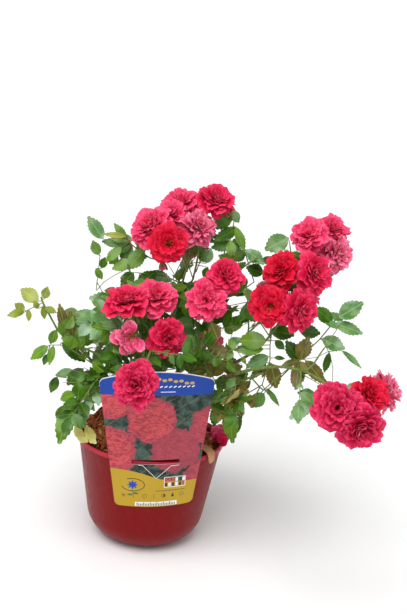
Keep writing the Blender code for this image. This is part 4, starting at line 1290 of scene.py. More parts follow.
SPRIGS = [
    Sprig("upper left", 0.035, 1.0, [(165, 262), (150, 258), (138, 250), (131, 244), (127, 238)], [
        (103, 240, 87, 217, 7.4, "blue"), (127, 236, 104, 233, 3.2, "olive"),
        (127, 240, 114, 223, 4.2, "mid"), (123, 245, 101, 242, 5.0, "dark"),
        (122, 247, 105, 261, 5.6, "mid"), (131, 243, 120, 262, 7.8, "dark"),
        (131, 261, 112, 269, 6.8, "mid"), (145, 249, 127, 268, 8.0, "mid"),
        (118, 256, 108, 266, 4.2, "mid"), (133, 240, 110, 238, 5.4, "mid"),
        (131, 247, 114, 249, 5.0, "dark"), (147, 258, 130, 257, 5.0, "blue"),
    ]),
    Sprig("left stem", 0.030, 0.7, [(128, 300), (104, 295), (97, 282), (99, 265), (100, 255)], [
        (99, 255, 93, 240, 5.2, "mid"), (101, 269, 105, 258, 4.2, "dark"),
        (96, 268, 103, 278, 3.8, "mid"), (119, 292, 105, 289, 4.5, "dark"),
        (116, 304, 89, 297, 8.6, "blue"),
    ]),
    Sprig("left stem's branch", 0.030, 0.6, [(97, 290), (104, 282), (115, 275), (125, 270), (133, 267)], []),
    Sprig("behind the left blooms", 0.020, 1.0, [(192, 292), (178, 282), (165, 276), (140, 273)], [
        (134, 272, 121, 285, 7.0, "dark"), (137, 285, 156, 271, 7.2, "dark"),
        (148, 273, 172, 281, 6.6, "blue"), (162, 284, 146, 283, 5.0, "mid"),
        (176, 281, 186, 268, 4.6, "mid"), (175, 287, 191, 287, 5.2, "dark"),
        (182, 260, 187, 273, 4.4, "blue"), (190, 292, 176, 296, 5.5, "dark"),
    ]),
    Sprig("stems under the top blooms", 0.012, 1.5,
        [(184, 296), (193, 279), (196, 266), (199, 250), (200, 240)], [
        (206, 264, 211, 249, 5.2, "blue"), (208, 267, 203, 278, 3.8, "dark"),
        (194, 283, 186, 295, 4.4, "mid"),
    ]),
    Sprig("stem to the open bloom", 0.012, 0.9, [(193, 279), (189, 267), (184, 256), (180, 246)], []),
    Sprig("stem to the faded bloom", 0.012, 0.8, [(196, 272), (201, 259), (207, 248)], []),
    Sprig("under the top blooms", 0.030, 1.0, [(205, 282), (222, 258), (230, 240), (234, 222)], [
        (233, 214, 212, 229, 8.5, "dark"), (232, 211, 240, 224, 5.0, "blue"),
        (238, 228, 214, 240, 6.5, "dark"), (235, 226, 244, 250, 5.0, "mid"),
        (240, 248, 241, 261, 2.8, "mid"), (233, 243, 211, 247, 6.5, "dark"),
    ]),
    Sprig("right of the top blooms", 0.030, 1.0, [(240, 292), (254, 282), (248, 262), (244, 249)], [
        (245, 249, 264, 262, 7.4, "blue"), (263, 273, 246, 266, 6.8, "dark"),
    ]),
    Sprig("left of the high blooms", 0.000, 1.0, [(292, 262), (290, 246)], [
        (289, 238, 265, 250, 9.6, "blue"),
    ]),
    Sprig("between the blooms", 0.000, 1.0, [(268, 334), (257, 318), (253, 300)], [
        (255, 299, 238, 321, 5.5, "dark"), (243, 325, 225, 322, 6.8, "mid"),
        (255, 309, 238, 325, 6.0, "dark"), (223, 308, 215, 323, 4.5, "blue"),
        (253, 302, 245, 286, 4.5, "mid"),
    ]),
    Sprig("deep in the middle", 0.030, 0.9, [(190, 345), (184, 325), (180, 312)], [
        (170, 319, 190, 305, 7.0, "dark"), (198, 326, 176, 319, 7.0, "dark"),
        (180, 330, 194, 340, 7.0, "dark"), (176, 333, 160, 341, 7.0, "dark"),
    ]),
    Sprig("deep above the card", 0.020, 0.9, [(150, 372), (150, 352)], [
        (150, 355, 133, 345, 7.0, "dark"), (151, 358, 168, 352, 7.0, "dark"),
        (150, 366, 168, 368, 6.5, "mid"), (148, 362, 128, 362, 6.5, "mid"),
    ]),
    Sprig("left of the front bloom", -0.010, 0.9, [(128, 380), (124, 366), (130, 352)], [
        (133, 352, 108, 343, 8.6, "mid"), (126, 356, 104, 352, 7.5, "dark"),
        (124, 366, 103, 366, 6.5, "mid"), (122, 372, 112, 380, 5.0, "dark"),
    ]),
    Sprig("deep left of the card", 0.030, 0.8, [(120, 400), (104, 392), (96, 384)], [
        (103, 392, 86, 388, 6.5, "bronze"), (104, 397, 84, 398, 6.0, "bronze"),
        (97, 384, 80, 380, 5.5, "mid"),
    ]),
    Sprig("deep right of the card", 0.000, 0.9, [(225, 392), (236, 378)], [
        (236, 380, 248, 372, 6.5, "dark"), (232, 384, 246, 390, 6.0, "mid"),
        (221, 362, 238, 360, 6.0, "dark"), (224, 372, 243, 367, 6.0, "bronze"),
        (226, 378, 246, 380, 5.0, "bronze"),
    ]),
    Sprig("left arm", -0.030, 1.6,
        [(104, 357), (86, 349), (70, 343), (58, 331), (51, 318), (43, 303), (41, 297)], [
        (38, 302, 19, 290, 7.6, "olive"), (44, 299, 48, 286, 4.6, "olive"),
        (45, 307, 57, 312, 3.6, "olive"), (43, 306, 44, 320, 3.2, "olive"),
        (38, 309, 34, 301, 3.2, "olive"), (66, 331, 60, 303, 5.0, "bronze"),
        (73, 343, 70, 312, 6.5, "bronze"), (67, 335, 59, 321, 4.5, "mid"), (78, 346, 62, 336, 6.5, "mid"),
        (82, 347, 78, 326, 6.5, "mid"), (56, 330, 49, 346, 4.8, "mid"),
    ]),
    Sprig("left arm's first leaf", -0.030, 0.7, [(42, 303), (34, 307), (26, 311)], [
        (25, 312, 6, 315, 4.6, "olive"), (25, 310, 15, 303, 4.6, "olive"),
        (29, 309, 28, 322, 3.2, "olive"),
    ]),
    Sprig("left arm's lower leaf", -0.030, 0.7, [(75, 352), (60, 345), (50, 345)], [
        (49, 345, 31, 357, 5.8, "mid"), (48, 353, 44, 364, 3.2, "dark"), (54, 344, 51, 362, 3.8, "mid"),
        (61, 343, 84, 364, 6.5, "dark"),
    ]),
    Sprig("left shoulder", -0.020, 0.8, [(112, 345), (104, 325), (98, 316)], [
        (101, 318, 75, 312, 5.4, "blue"), (104, 326, 81, 322, 5.4, "dark"),
    ]),
    Sprig("left arch", -0.020, 0.8, [(108, 372), (86, 380), (70, 378), (60, 377)], [
        (74, 371, 55, 377, 4.8, "blue"), (57, 377, 50, 394, 4.8, "dark"), (84, 367, 68, 383, 7.0, "dark"),
        (84, 383, 66, 380, 4.0, "olive"), (98, 375, 84, 394, 7.5, "mid"), (90, 385, 72, 390, 5.0, "mid"),
    ]),
    Sprig("behind the card", -0.030, 0.8, [(206, 378), (196, 370), (182, 368), (166, 370), (150, 374)], [
        (160, 371, 150, 357, 6.5, "dark"), (172, 369, 164, 353, 6.5, "dark"),
        (176, 369, 188, 353, 7.0, "dark"), (190, 369, 181, 357, 5.5, "dark"),
        (194, 370, 208, 355, 7.0, "dark"), (200, 372, 216, 361, 5.5, "bronze"),
        (184, 368, 198, 364, 5.0, "dark"),
    ]),
    Sprig("beside the card", -0.045, 0.8, [(200, 368), (212, 376), (221, 390), (227, 408)], [
        (213, 377, 226, 365, 5.5, "bronze"), (220, 386, 243, 382, 5.5, "bronze"),
        (223, 393, 244, 407, 6.0, "bronze"), (219, 389, 213, 410, 7.5, "dark"),
        (226, 402, 231, 424, 7.5, "dark"), (225, 399, 240, 412, 5.0, "olive"),
        (216, 381, 231, 375, 5.0, "dark"), (215, 396, 221, 414, 5.0, "dark"),
    ]),
    Sprig("left of the card", -0.040, 0.7, [(128, 376), (112, 372), (98, 372)], [
        (118, 373, 107, 360, 6.0, "dark"), (104, 372, 92, 362, 5.5, "mid"),
        (100, 373, 88, 378, 5.0, "dark"), (126, 374, 134, 360, 6.0, "mid"),
    ]),
    Sprig("low left", -0.050, 0.8, [(100, 382), (84, 394), (74, 399)], [
        (76, 394, 58, 402, 6.0, "mid"), (71, 403, 60, 441, 9.0, "mid"), (72, 402, 84, 429, 8.0, "blue"),
        (64, 406, 56, 425, 5.5, "mid"),
    ]),
    Sprig("right spray", -0.045, 1.0, [(270, 388), (300, 358), (320, 339), (333, 323), (339, 316)], [
        (338, 317, 362, 301, 9.0, "blue"), (333, 322, 362, 331, 6.6, "blue"),
        (332, 322, 314, 306, 7.5, "dark"), (299, 331, 322, 334, 6.8, "dark"),
        (321, 338, 344, 347, 8.0, "blue"),
    ]),
    Sprig("right spray's lower leaf", -0.045, 0.5, [(300, 360), (318, 357), (327, 352), (341, 350)], [
        (341, 350, 362, 366, 3.5, "blue"), (330, 353, 326, 376, 4.0, "dark"),
    ]),
    Sprig("stem to the low blooms", -0.045, 0.6, [(322, 340), (330, 354), (333, 368), (332, 388)], []),
    Sprig("bronze star", -0.060, 0.8, [(255, 398), (280, 375), (301, 359)], [
        (299, 361, 309, 337, 8.0, "bronze"), (299, 361, 286, 342, 7.4, "dark"),
        (299, 361, 297, 392, 9.2, "bronze"), (305, 360, 326, 385, 6.8, "bronze"),
        (299, 360, 280, 367, 3.8, "bronze"), (300, 360, 306, 371, 4.0, "bronze"),
        (304, 352, 309, 343, 2.8, "bronze"),
    ]),
    Sprig("right middle", -0.050, 0.9, [(236, 400), (262, 385), (270, 360), (270, 345), (272, 331)], [
        (271, 363, 277, 390, 7.6, "bronze"), (269, 356, 246, 366, 7.0, "blue"),
        (267, 363, 250, 382, 4.2, "bronze"), (270, 364, 262, 378, 3.4, "bronze"),
        (274, 358, 285, 358, 2.6, "dark"), (275, 341, 285, 351, 4.2, "dark"),
        (270, 331, 295, 335, 8.0, "dark"), (267, 341, 238, 340, 9.4, "mid"),
        (264, 349, 234, 347, 7.0, "mid"), (228, 346, 240, 337, 5.2, "blue"),
        (322, 378, 328, 387, 2.4, "dark"),
    ]),
    Sprig("lower right", -0.050, 0.8, [(262, 385), (268, 394), (278, 402)], [
        (264, 392, 251, 406, 7.0, "dark"), (266, 387, 279, 404, 3.0, "dark"),
    ]),
    Sprig("leaf beside the low blooms", -0.150, 0.8, [(338, 400), (325, 398), (316, 399)], [
        (316, 399, 289, 421, 8.5, "blue"), (316, 395, 298, 392, 5.0, "dark"),
    ]),
    Sprig("over the rim", -0.030, 0.8, [(222, 392), (226, 400)], [
        (219, 402, 214, 428, 7.0, "dark"), (228, 402, 232, 441, 8.0, "mid"),
        (236, 396, 242, 424, 6.0, "bronze"), (241, 416, 230, 441, 5.5, "dark"),
    ]),
]


# where the set sprigs stand alone, as ovals: the middle in the camera's frame, half width and height
CLEARINGS = {
    "left of the top blooms": (105, 252, 27, 38),
    "under the top blooms": (165, 269, 49, 13),
    "left of the high blooms": (270, 242, 29, 14),
    "between the two heads": (256, 278, 12, 22),
    "right of the faded bloom": (237, 303, 9, 9),
    "under the high blooms": (321, 300, 14, 8),
    "round the left arm": (37, 330, 28, 60),
    "over the left arm": (77, 301, 16, 13),
    "right middle": (293, 355, 60, 38),
    "right of the right spray": (346, 350, 14, 36),
    "left of the right middle": (252, 332, 16, 12),
    "over the right rim": (261, 424, 21, 19),
    "under the right middle": (259, 391, 12, 9),
    "over the left arch": (61, 377, 8, 20),
    "left of the low blooms": (284, 402, 13, 14),
    "over the left bud": (79, 362, 12, 14),
    "right of the card's corner": (221, 372, 8, 10),
    "right of the card": (224, 337, 8, 5),
    "before the lower left bloom": (174, 346, 13, 10),
}


def cleared(point):
    """Whether a leaf of the growing rule would stand in a clearing."""
    u, v = framed(point)
    for middle_u, middle_v, half_width_u, half_height_v in CLEARINGS.values():
        across, down = (u - middle_u) / half_width_u, (v - middle_v) / half_height_v
        if across * across + down * down < 1:
            return True
    return False


def near_spot(point, twigs):
    """The nearest of all the points along the twigs."""
    return min((p for line, _, _ in twigs for p in line), key=lambda p: (p - point).length)


def near_line(point, line):
    """The nearest place to a point on a line of points."""
    places = [towards(point, a, b) for a, b in zip(line, line[1:])]
    return min(places, key=lambda p: (p - point).length)


def dress_sprigs(blades, stalks, twigs, rng):
    """The set sprigs, each joined to the nearest twig of the plant by a bowed stem."""
    for sprig in SPRIGS:
        joint = sprig.line[0]
        start = near_spot(joint, twigs)
        way = (sprig.line[1] - joint).normalized()
        lead = sweep(start, (joint - start).normalized(), joint, way, 6)
        twigs.append((lead[:-1] + sprig.line, sprig.radius * 1.1, sprig.radius * 0.8))
        for foot, tip, half, tint in sprig.leaflets:
            depth = Vector((0, rng.uniform(-0.006, 0.006), 0))
            foot, tip = foot + depth, tip + depth * 2 + Vector((0, rng.uniform(-0.006, 0.004), 0))
            normal = Vector((rng.uniform(-0.35, 0.35), -0.85, 0.55 + rng.uniform(-0.25, 0.25)))
            run, root = tip - foot, near_line(foot, sprig.line)
            line = [root, root * 0.4 + foot * 0.6, foot, foot + run * 0.04]
            stalks.append((line, *LEAFLET_STALK))
            add_leaflet(
                blades[tint], frame_of(foot, run, normal), run.length, half, rng.uniform(0.08, 0.30),
                rng.uniform(0.02, 0.16), rng.uniform(-0.06, 0.14), half * rng.uniform(0.02, 0.14),
                rng.uniform(0, 6.3),
            )


# ---------------------------------------------------------------- foliage
# first and last radius of a leaf's stalk, and of a single leaflet's
LEAF_STALK, LEAFLET_STALK = (0.00075, 0.0004), (0.0007, 0.0004)
# where a leaf's pairs stand, their leaflets' length and where the last one starts, as shares,
# for leaves up to the first of these lengths, up to the second and longer; and for a few small ones
LEAF_STEPS = (0.058, 0.080)
LEAF_PLANS = [((0.30, 0.55), 0.37, 0.62), ((0.32, 0.55), 0.37, 0.63), ((0.26, 0.44, 0.62), 0.30, 0.71)]
SMALL_LEAF_PLAN = ((0.42,), 0.46, 0.58)
# a stipule's length, half width, fold, arch, droop, wave and phase, and where along the stalk it is
STIPULE, STIPULE_SHARE = (0.011, 0.0016, 0.3, 0.0, 0.1, 0.0, 0.0), 0.07


def dress_leaf(leaf, sheaf, stalks, rng):
    """A stalk with pairs of serrated leaflets, the last one and two stipules, if any shows."""
    length, place = leaf.length, leaf.place

    def on_stalk(x):
        return Vector((x * length, 0, -leaf.droop * length * x * x))

    shares, size, last = LEAF_PLANS[sum(length > step for step in LEAF_STEPS)]
    if length < LEAF_STEPS[0] and rng.random() < 0.25:
        shares, size, last = SMALL_LEAF_PLAN
    borne = False
    spots = [(x, side, size * rng.uniform(0.84, 1.08)) for x in shares for side in (1, -1)]
    spots += [(last, 0, (1.0 - last) * rng.uniform(0.96, 1.06))]
    for x, side, share in spots:
        splay = side * (LEAFLET_SPLAY + rng.gauss(0, 0.12))
        turned = Matrix.Translation(on_stalk(x)) @ Matrix.Rotation(splay, 4, "Z")
        turned = turned @ Matrix.Rotation(rng.gauss(0.10, 0.14) + 0.16 * (side == 0), 4, "Y")
        turned = turned @ Matrix.Rotation(rng.gauss(-0.16 * side, 0.20), 4, "X")
        long, whole = share * length, place @ turned
        if any(cleared(whole @ Vector((long * reach, 0, 0))) for reach in (0.25, 0.55, 0.85)):
            continue
        add_leaflet(
            sheaf, whole, long, long * rng.uniform(0.29, 0.355), rng.uniform(0.10, 0.50),
            rng.uniform(0.02, 0.20), rng.uniform(-0.02, 0.34), long * rng.uniform(0.006, 0.03),
            rng.uniform(0, 6.3),
        )
        borne = True
    if borne:
        line = [leaf.foot] + [place @ on_stalk(last * k / 6) for k in range(1, 7)]
        stalks.append((line, *LEAF_STALK))
        for side in (1, -1):
            root = Matrix.Translation(on_stalk(STIPULE_SHARE))
            add_leaflet(sheaf, place @ root @ Matrix.Rotation(side * 0.35, 4, "Z"), *STIPULE)
    return borne


def covers(point, bloom):
    """Whether a leaf at a point would stand in a bloom, or in front of its face."""
    reach = 0.45 * bloom.diameter + 0.008
    away = point - bloom.middle
    if away.length < reach:
        return True
    for way in (bloom.facing, (CAMERA_AT - bloom.middle).normalized()):
        ahead = away.dot(way)
        if 0 < ahead < 0.11 and (away - way * ahead).length < reach:
            return True
    return False


def thicken(masses, fixed, rng):
    """Smaller leaves between the first ones, kept to their own shoot's reach."""
    blooms = [b for m in masses for b in m.shoot.blooms]
    middles = [leaf.middle() for m in masses for leaf in m.leaves]
    for mass in masses:
        step, least, most = FILL.get(mass.shoot.name, BACK_FILL)
        for owner, (line, _, _) in enumerate(mass.limbs):
            turn, since = rng.uniform(0, 2 * pi), rng.uniform(0, step)
            for a, b in zip(line, line[1:]):
                since += (b - a).length
                if since < step:
                    continue
                since, turn = rng.uniform(-0.15, 0.15) * step, turn + LEAF_TURN
                slot = (owner, b, (b - a).normalized(), turn, rng.uniform(least, most))
                for attempt in range(4):
                    place, length = mass.leaf_at(slot, attempt)
                    leaf = Leaf(owner, place, length, rng.uniform(0.08, 0.30), b)
                    middle = leaf.middle()
                    if any(covers(middle, bloom) for bloom in blooms):
                        continue
                    if nearest(middle, middles) < LEAF_SPACING:
                        continue
                    trial = tree_of(pinnate_leaf(length, 1, place, leaf.droop, FILL_SWELL))
                    if any(trial.overlap(tree) for tree in fixed):
                        continue
                    mass.leaves.append(leaf)
                    middles.append(middle)
                    break


# ---------------------------------------------------------------- blooms
# petals of a whorl, their length, half width, lean at the claw and at the margin, claw's place
WHORLS = [
    (7, 1.05, 0.42, 66, 124, 0.07),
    (8, 1.06, 0.36, 55, 104, 0.07),
    (10, 1.02, 0.30, 43, 88, 0.06),
    (11, 0.95, 0.25, 33, 73, 0.06),
    (12, 0.87, 0.21, 23, 58, 0.05),
    (12, 0.79, 0.18, 14, 44, 0.05),
    (11, 0.73, 0.16, 6, 30, 0.04),
]
HALF_OPEN = [(9, 0.70, 0.24, 20, 55, 0.06), (8, 0.50, 0.16, 22, 45, 0.05)]
SPENT = [(6, 1.05, 0.42, 68, 108, 0.06), (5, 0.84, 0.34, 52, 92, 0.05), (4, 0.58, 0.24, 40, 76, 0.05)]
# a spent bloom keeps its petals on the side that hangs: the first one's turn and their spread
SPENT_SIDE = (radians(125), radians(240))
CRUMPLE = {"fresh": 1.0, "open": 0.9, "faded": 1.6, "spent": 1.8}
# height along the bloom's axis and half width of the hip's rings, as shares of its radius
HIP_RINGS = [(-0.66, 0.055), (-0.58, 0.12), (-0.48, 0.15), (-0.38, 0.14), (-0.30, 0.11)]
HIP_SIDES = 8
HIP_FACES = np.array(pointed(len(HIP_RINGS), HIP_SIDES))


def petals_of(look):
    """The whorls of a bloom that is fresh, open, faded or spent."""
    if look == "open":
        return WHORLS[:5] + HALF_OPEN
    if look == "faded":
        return [(n + 1, a, w * 0.78, p + 2, q + 4, f) for n, a, w, p, q, f in WHORLS]
    return SPENT if look == "spent" else WHORLS


def add_hip(sheaf, place, radius):
    """The hip under a bloom that faces +X, put in its place."""
    spots = [(up, wide * cos(a), wide * sin(a)) for up, wide in HIP_RINGS for a in turns(HIP_SIDES)]
    spots += [(HIP_RINGS[0][0], 0, 0), (HIP_RINGS[-1][0], 0, 0)]
    sheaf.add(put(np.array(spots) * radius, place), HIP_FACES)


def dress_bloom(bloom, look, petals, greens, stamens, rng, way=None, fuller=1.0):
    """One bloom's petals, hip, sepals and stamens, as it is shown: turned another way or fuller."""
    place, radius = bloom_place(bloom), bloom.diameter / 2 * fuller
    if way:
        place = frame_of(bloom.middle, aimed(*way), UPRIGHT)
    crumple = CRUMPLE[look]
    for number, (count, length, half, low, high, foot) in enumerate(petals_of(look)):
        start, spread = SPENT_SIDE if look == "spent" else (rng.uniform(0, 2 * pi), 2 * pi)
        for k in range(count):
            turn = start + spread * k / count + rng.normal(0, 0.14) * crumple
            lean = (low + rng.normal(0, 7) * crumple, high + rng.normal(0, 13) * crumple)
            size = rng.uniform(0.82, 1.07)
            add_petal(
                petals, place, radius, turn, foot, -0.30 + 0.015 * number, lean, length * size,
                half * size, rng.uniform(0.05, 0.50), 0.15 * crumple,
                rng.uniform(-0.05, 0.09) * crumple, rng.normal(0, 0.24) * crumple, rng,
            )
    add_hip(greens, place, radius)
    for angle in turns(5):
        lean = (100 + rng.normal(0, 8), 158 + rng.normal(0, 12))
        sepal = (angle + rng.normal(0, 0.1), 0.10, -0.32, lean, 0.62, 0.12, 0.4, 0.02, -0.5, 0.0, rng)
        add_petal(greens, place, radius, *sepal, finishes=1)
    if look in ("open", "spent"):
        for _ in range(STAMENS):
            turn, lean = rng.uniform(0, 2 * pi), rng.uniform(0.05, 0.75)
            stamen(stamens, place, radius, turn, lean, rng.uniform(0.42, 0.56))


def stamen(sheaf, place, radius, turn, lean, length):
    """A thin filament with a two-lobed anther at its end; marks 0 filament, 1 anther."""
    foot = Vector((-0.26 * radius, 0.05 * radius * cos(turn), 0.05 * radius * sin(turn)))
    way = Vector((cos(lean), sin(lean) * cos(turn), sin(lean) * sin(turn)))
    tip = foot + way * length * radius
    verts, faces = tube([foot, tip], *FILAMENT_RADII, 3)
    thread = [(face[0], face[i], face[i + 1]) for face in faces for i in range(1, len(face) - 1)]
    a = way.orthogonal().normalized() * ANTHER_HALF
    b, c = way.cross(way.orthogonal()).normalized() * ANTHER_WIDTH, way * ANTHER_HALF
    base, anther = len(verts), []
    verts += [tip + a, tip + b, tip - a, tip - b, tip + c, tip - c]
    for k in range(4):
        m = (k + 1) % 4
        anther += [(base + k, base + m, base + 4), (base + m, base + k, base + 5)]
    marks = np.repeat([0, 1], [len(thread), len(anther)])
    sheaf.add(put(np.array(verts), place), thread + anther, marks=marks)


def rose_bud(place, size, petals, greens, rng):
    """A closed bud along X: rolled petals wrapped by five sepals over its hip."""
    for count, low, high, half in ((4, 4, -8, 0.34), (5, 12, -14, 0.42)):
        for angle in turns(count):
            rolled = (0.05, -0.25, (low, high), 0.95, half, 0.9, 0.02, 0, 0.3, rng)
            add_petal(petals, place, size, angle + rng.normal(0, 0.1), *rolled)
    add_hip(greens, place, size)
    for angle in turns(5):
        lean = (38 + rng.normal(0, 5), -6 + rng.normal(0, 14))
        sepal = (angle, 0.10, -0.32, lean, 1.05, 0.20, 0.6, 0.02, -0.5, 0, rng)
        add_petal(greens, place, size, *sepal, finishes=1)


# ---------------------------------------------------------------- pot, bark, card, crown
def wall_radius(height):
    """Outer radius of the straight part of the pot's wall."""
    return WALL_FOOT_RADIUS + height * tan(WALL_TAPER)


def wall_outline(inset, top, steps):
    """(radius, height) points from the flat underside round the heel and up the wall."""
    middle = WALL_FOOT_RADIUS + HEEL_RADIUS * (tan(WALL_TAPER) - 1 / cos(WALL_TAPER))
    points = []
    for i in range(steps + 1):
        angle = -pi / 2 + (pi / 2 - WALL_TAPER) * i / steps
        reach = HEEL_RADIUS - inset
        points.append((middle + reach * cos(angle), HEEL_RADIUS + reach * sin(angle)))
    low = points[-1][1]
    for i in range(1, 13):
        height = low + (top - low) * i / 12
        points.append((wall_radius(height) - inset / cos(WALL_TAPER), height))
    return points


def make_pot(finish):
    """Thin wall, rounded lip, a bowl-like heel and drain holes through it."""
    lip = [(RIM_RADIUS - 0.0006, POT_HEIGHT - LIP_HEIGHT)]
    for i in range(5):
        angle = -pi / 2 + pi / 2 * i / 4
        out, up = cos(angle) * LIP_ROUND, sin(angle) * LIP_ROUND
        lip.append((RIM_RADIUS - LIP_ROUND + out, POT_HEIGHT - LIP_HEIGHT + LIP_ROUND + up))
    for i in range(9):
        angle = pi * i / 8
        middle = RIM_RADIUS - LIP_ROUND * 1.35
        out, up = cos(angle) * LIP_ROUND * 1.35, sin(angle) * LIP_ROUND * 1.1
        lip.append((middle + out, POT_HEIGHT - LIP_ROUND * 1.1 + up))
    outer = wall_outline(0.0, POT_HEIGHT - LIP_HEIGHT - 0.0006, 14)
    inner = wall_outline(WALL, POT_HEIGHT - 0.004, 10)
    pot = plain_mesh("pot_shell", *lathe(outer + lip + inner[::-1], POT_SIDES), finish)
    for turn in turns(DRAIN_HOLES):
        out = Vector((cos(turn - pi / 2), sin(turn - pi / 2), 0.0))
        path = [out * reach + Vector((0, 0, height)) for reach, height in DRAIN_PATH]
        hole = plain_mesh("hole", *tube(path, DRAIN_RADIUS, DRAIN_RADIUS, 24))
        modify(pot, "BOOLEAN", operation="DIFFERENCE", solver="EXACT", object=hole)
        drop(hole)
    return smoothed(pot, 42)


def mound_height(x, y):
    """The bark's level: a mound round the crown, and a heap against the rim at the left."""
    rise = float(np.interp(sqrt(x * x + y * y), *MOUND_FALL))
    heap = HEAP_HEIGHT * 2.718 ** -(((x - HEAP_X) ** 2 + (y - HEAP_Y) ** 2) / HEAP_SPREAD)
    return SUBSTRATE_TOP + MOUND * rise + heap


def make_bed(finish):
    """The filling inside the pot, its top a mound with the lumps of packed bark."""
    side = wall_outline(WALL + CLEARANCE, SUBSTRATE_TOP - 0.002, 8)
    rings = [(side[-1][0] * share, SUBSTRATE_TOP) for share in BED_RINGS]
    verts, faces = lathe(side + rings, BED_SIDES)
    rng = Random(31)
    for v in verts[len(side) * BED_SIDES :]:
        v.z = mound_height(v.x, v.y) + rng.uniform(-BED_LUMPS, BED_LUMPS)
    return smoothed(plain_mesh("bark_bed", verts, faces, finish), 40)


def mound_patch():
    """The open top of the mound that the shreds are strewn over, clear of the wall."""
    spots = [(r * cos(a), r * sin(a)) for r in PATCH_RINGS for a in turns(PATCH_SIDES)]
    verts = [(x, y, mound_height(x, y) + PATCH_LIFT) for x, y in spots]
    return plain_mesh("patch", verts, turned_over(ringed(len(PATCH_RINGS), PATCH_SIDES)[:-2]))


def shred(long, wide, thick, bend):
    """A torn flake of bark with a split end, lying along X."""
    verts, last = [], len(SHRED_OUTLINE) - 1
    for i, (swell, shift) in enumerate(SHRED_OUTLINE):
        x, half = (i / last - 0.5) * long, wide / 2 * swell
        lift = bend * (1 - (2 * i / last - 1) ** 2)
        for y, z in ((-half, -thick), (half, -thick * 0.7), (half * 0.8, thick), (-half * 0.7, thick * 0.8)):
            verts.append((x, y + wide * shift, z / 2 + lift))
    end = 4 * last
    faces = turned_over(ringed(last + 1, 4)[:-2]) + [(0, 1, 2, 3), (end + 3, end + 2, end + 1, end)]
    return plain_mesh("shred", verts, faces)


def prickle():
    """A hooked prickle: a long flat foot and a point that turns along +X."""
    verts = []
    for height, long, wide, shift in PRICKLE_RINGS:
        verts += [(shift + long * cos(a), wide * sin(a), height) for a in turns(PRICKLE_SIDES)]
    return plain_mesh("thorn", verts, ringed(len(PRICKLE_RINGS), PRICKLE_SIDES))


def label_face(height):
    """How far in front of the pot's axis the card's middle line stands at a height."""
    low = wall_radius(LABEL_FLANK) + LABEL_WALL_GAP
    rim = RIM_RADIUS + LABEL_THICKNESS / 2 + LABEL_RIM_GAP
    if height < LABEL_FLANK + LABEL_RISE:
        return low + (rim - low) * (height - LABEL_FLANK) / LABEL_RISE
    return rim + max(0.0, height - POT_HEIGHT) * LABEL_LEAN


def label_share(t):
    """How far up the card a level is, from 0 at its foot to 1 at its shoulders."""
    return (t - LABEL_LOW) / (LABEL_HIGH - LABEL_LOW)


def label_point(s, t):
    """The flat card's point (s, t), turned askew and bent round the pot."""
    across = s * cos(LABEL_TURN) - t * sin(LABEL_TURN)
    height = SLOT_LEVEL + s * sin(LABEL_TURN) + t * cos(LABEL_TURN)
    bend = LABEL_BEND_LOW + (LABEL_BEND_HIGH - LABEL_BEND_LOW) * max(0.0, label_share(t)) ** 1.6
    turn = across / bend
    return Vector((bend * sin(turn), bend * (1 - cos(turn)) - label_face(height), height))


def half_width(t):
    return (LABEL_BOTTOM_WIDTH + (LABEL_TOP_WIDTH - LABEL_BOTTOM_WIDTH) * label_share(t)) / 2


def field_edge(s):
    """Where the yellow field ends: a low hill that falls to the right."""
    return FIELD_LEVEL - FIELD_FALL * tanh((s - FIELD_MIDDLE) / FIELD_SLOPE)


def card_corner(s, half):
    """How far the card's rounded corner cuts into its edge at a place across it."""
    past = max(0.0, abs(s) - (half - LABEL_CORNER))
    return LABEL_CORNER - sqrt(max(0.0, LABEL_CORNER**2 - past * past))


def card_place(zone, share, side, u):
    """The flat card's point a share up a zone, at u across its middle (side 0) or to one side."""
    s, t = SLOT_HALF * u, LABEL_LOW + 0.02 * zone
    if side:
        s = 0.0
    for _ in range(3):
        half = half_width(t)
        if side:
            s = side * (SLOT_HALF + (half - SLOT_HALF) * u)
        foot = LABEL_LOW + card_corner(s, half)
        head = LABEL_HIGH + LABEL_CREST * (1 - (s / half) ** 2) - card_corner(s, half)
        stops = [foot, max(foot, field_edge(s)), -SLOT_HEIGHT, 0.0, BAND_LEVEL, head - EDGE_WHITE, head]
        t = stops[zone] + (stops[zone + 1] - stops[zone]) * share
    return s, t


# rows up the card: zone, how many rows it has, the finish of the faces above them
PICTURE, YELLOW, BAND, TONGUE, WHITE = range(5)
CARD_ZONES = [(0, 10, YELLOW), (1, 3, PICTURE), (2, 2, PICTURE), (3, 16, PICTURE), (4, 6, BAND)]


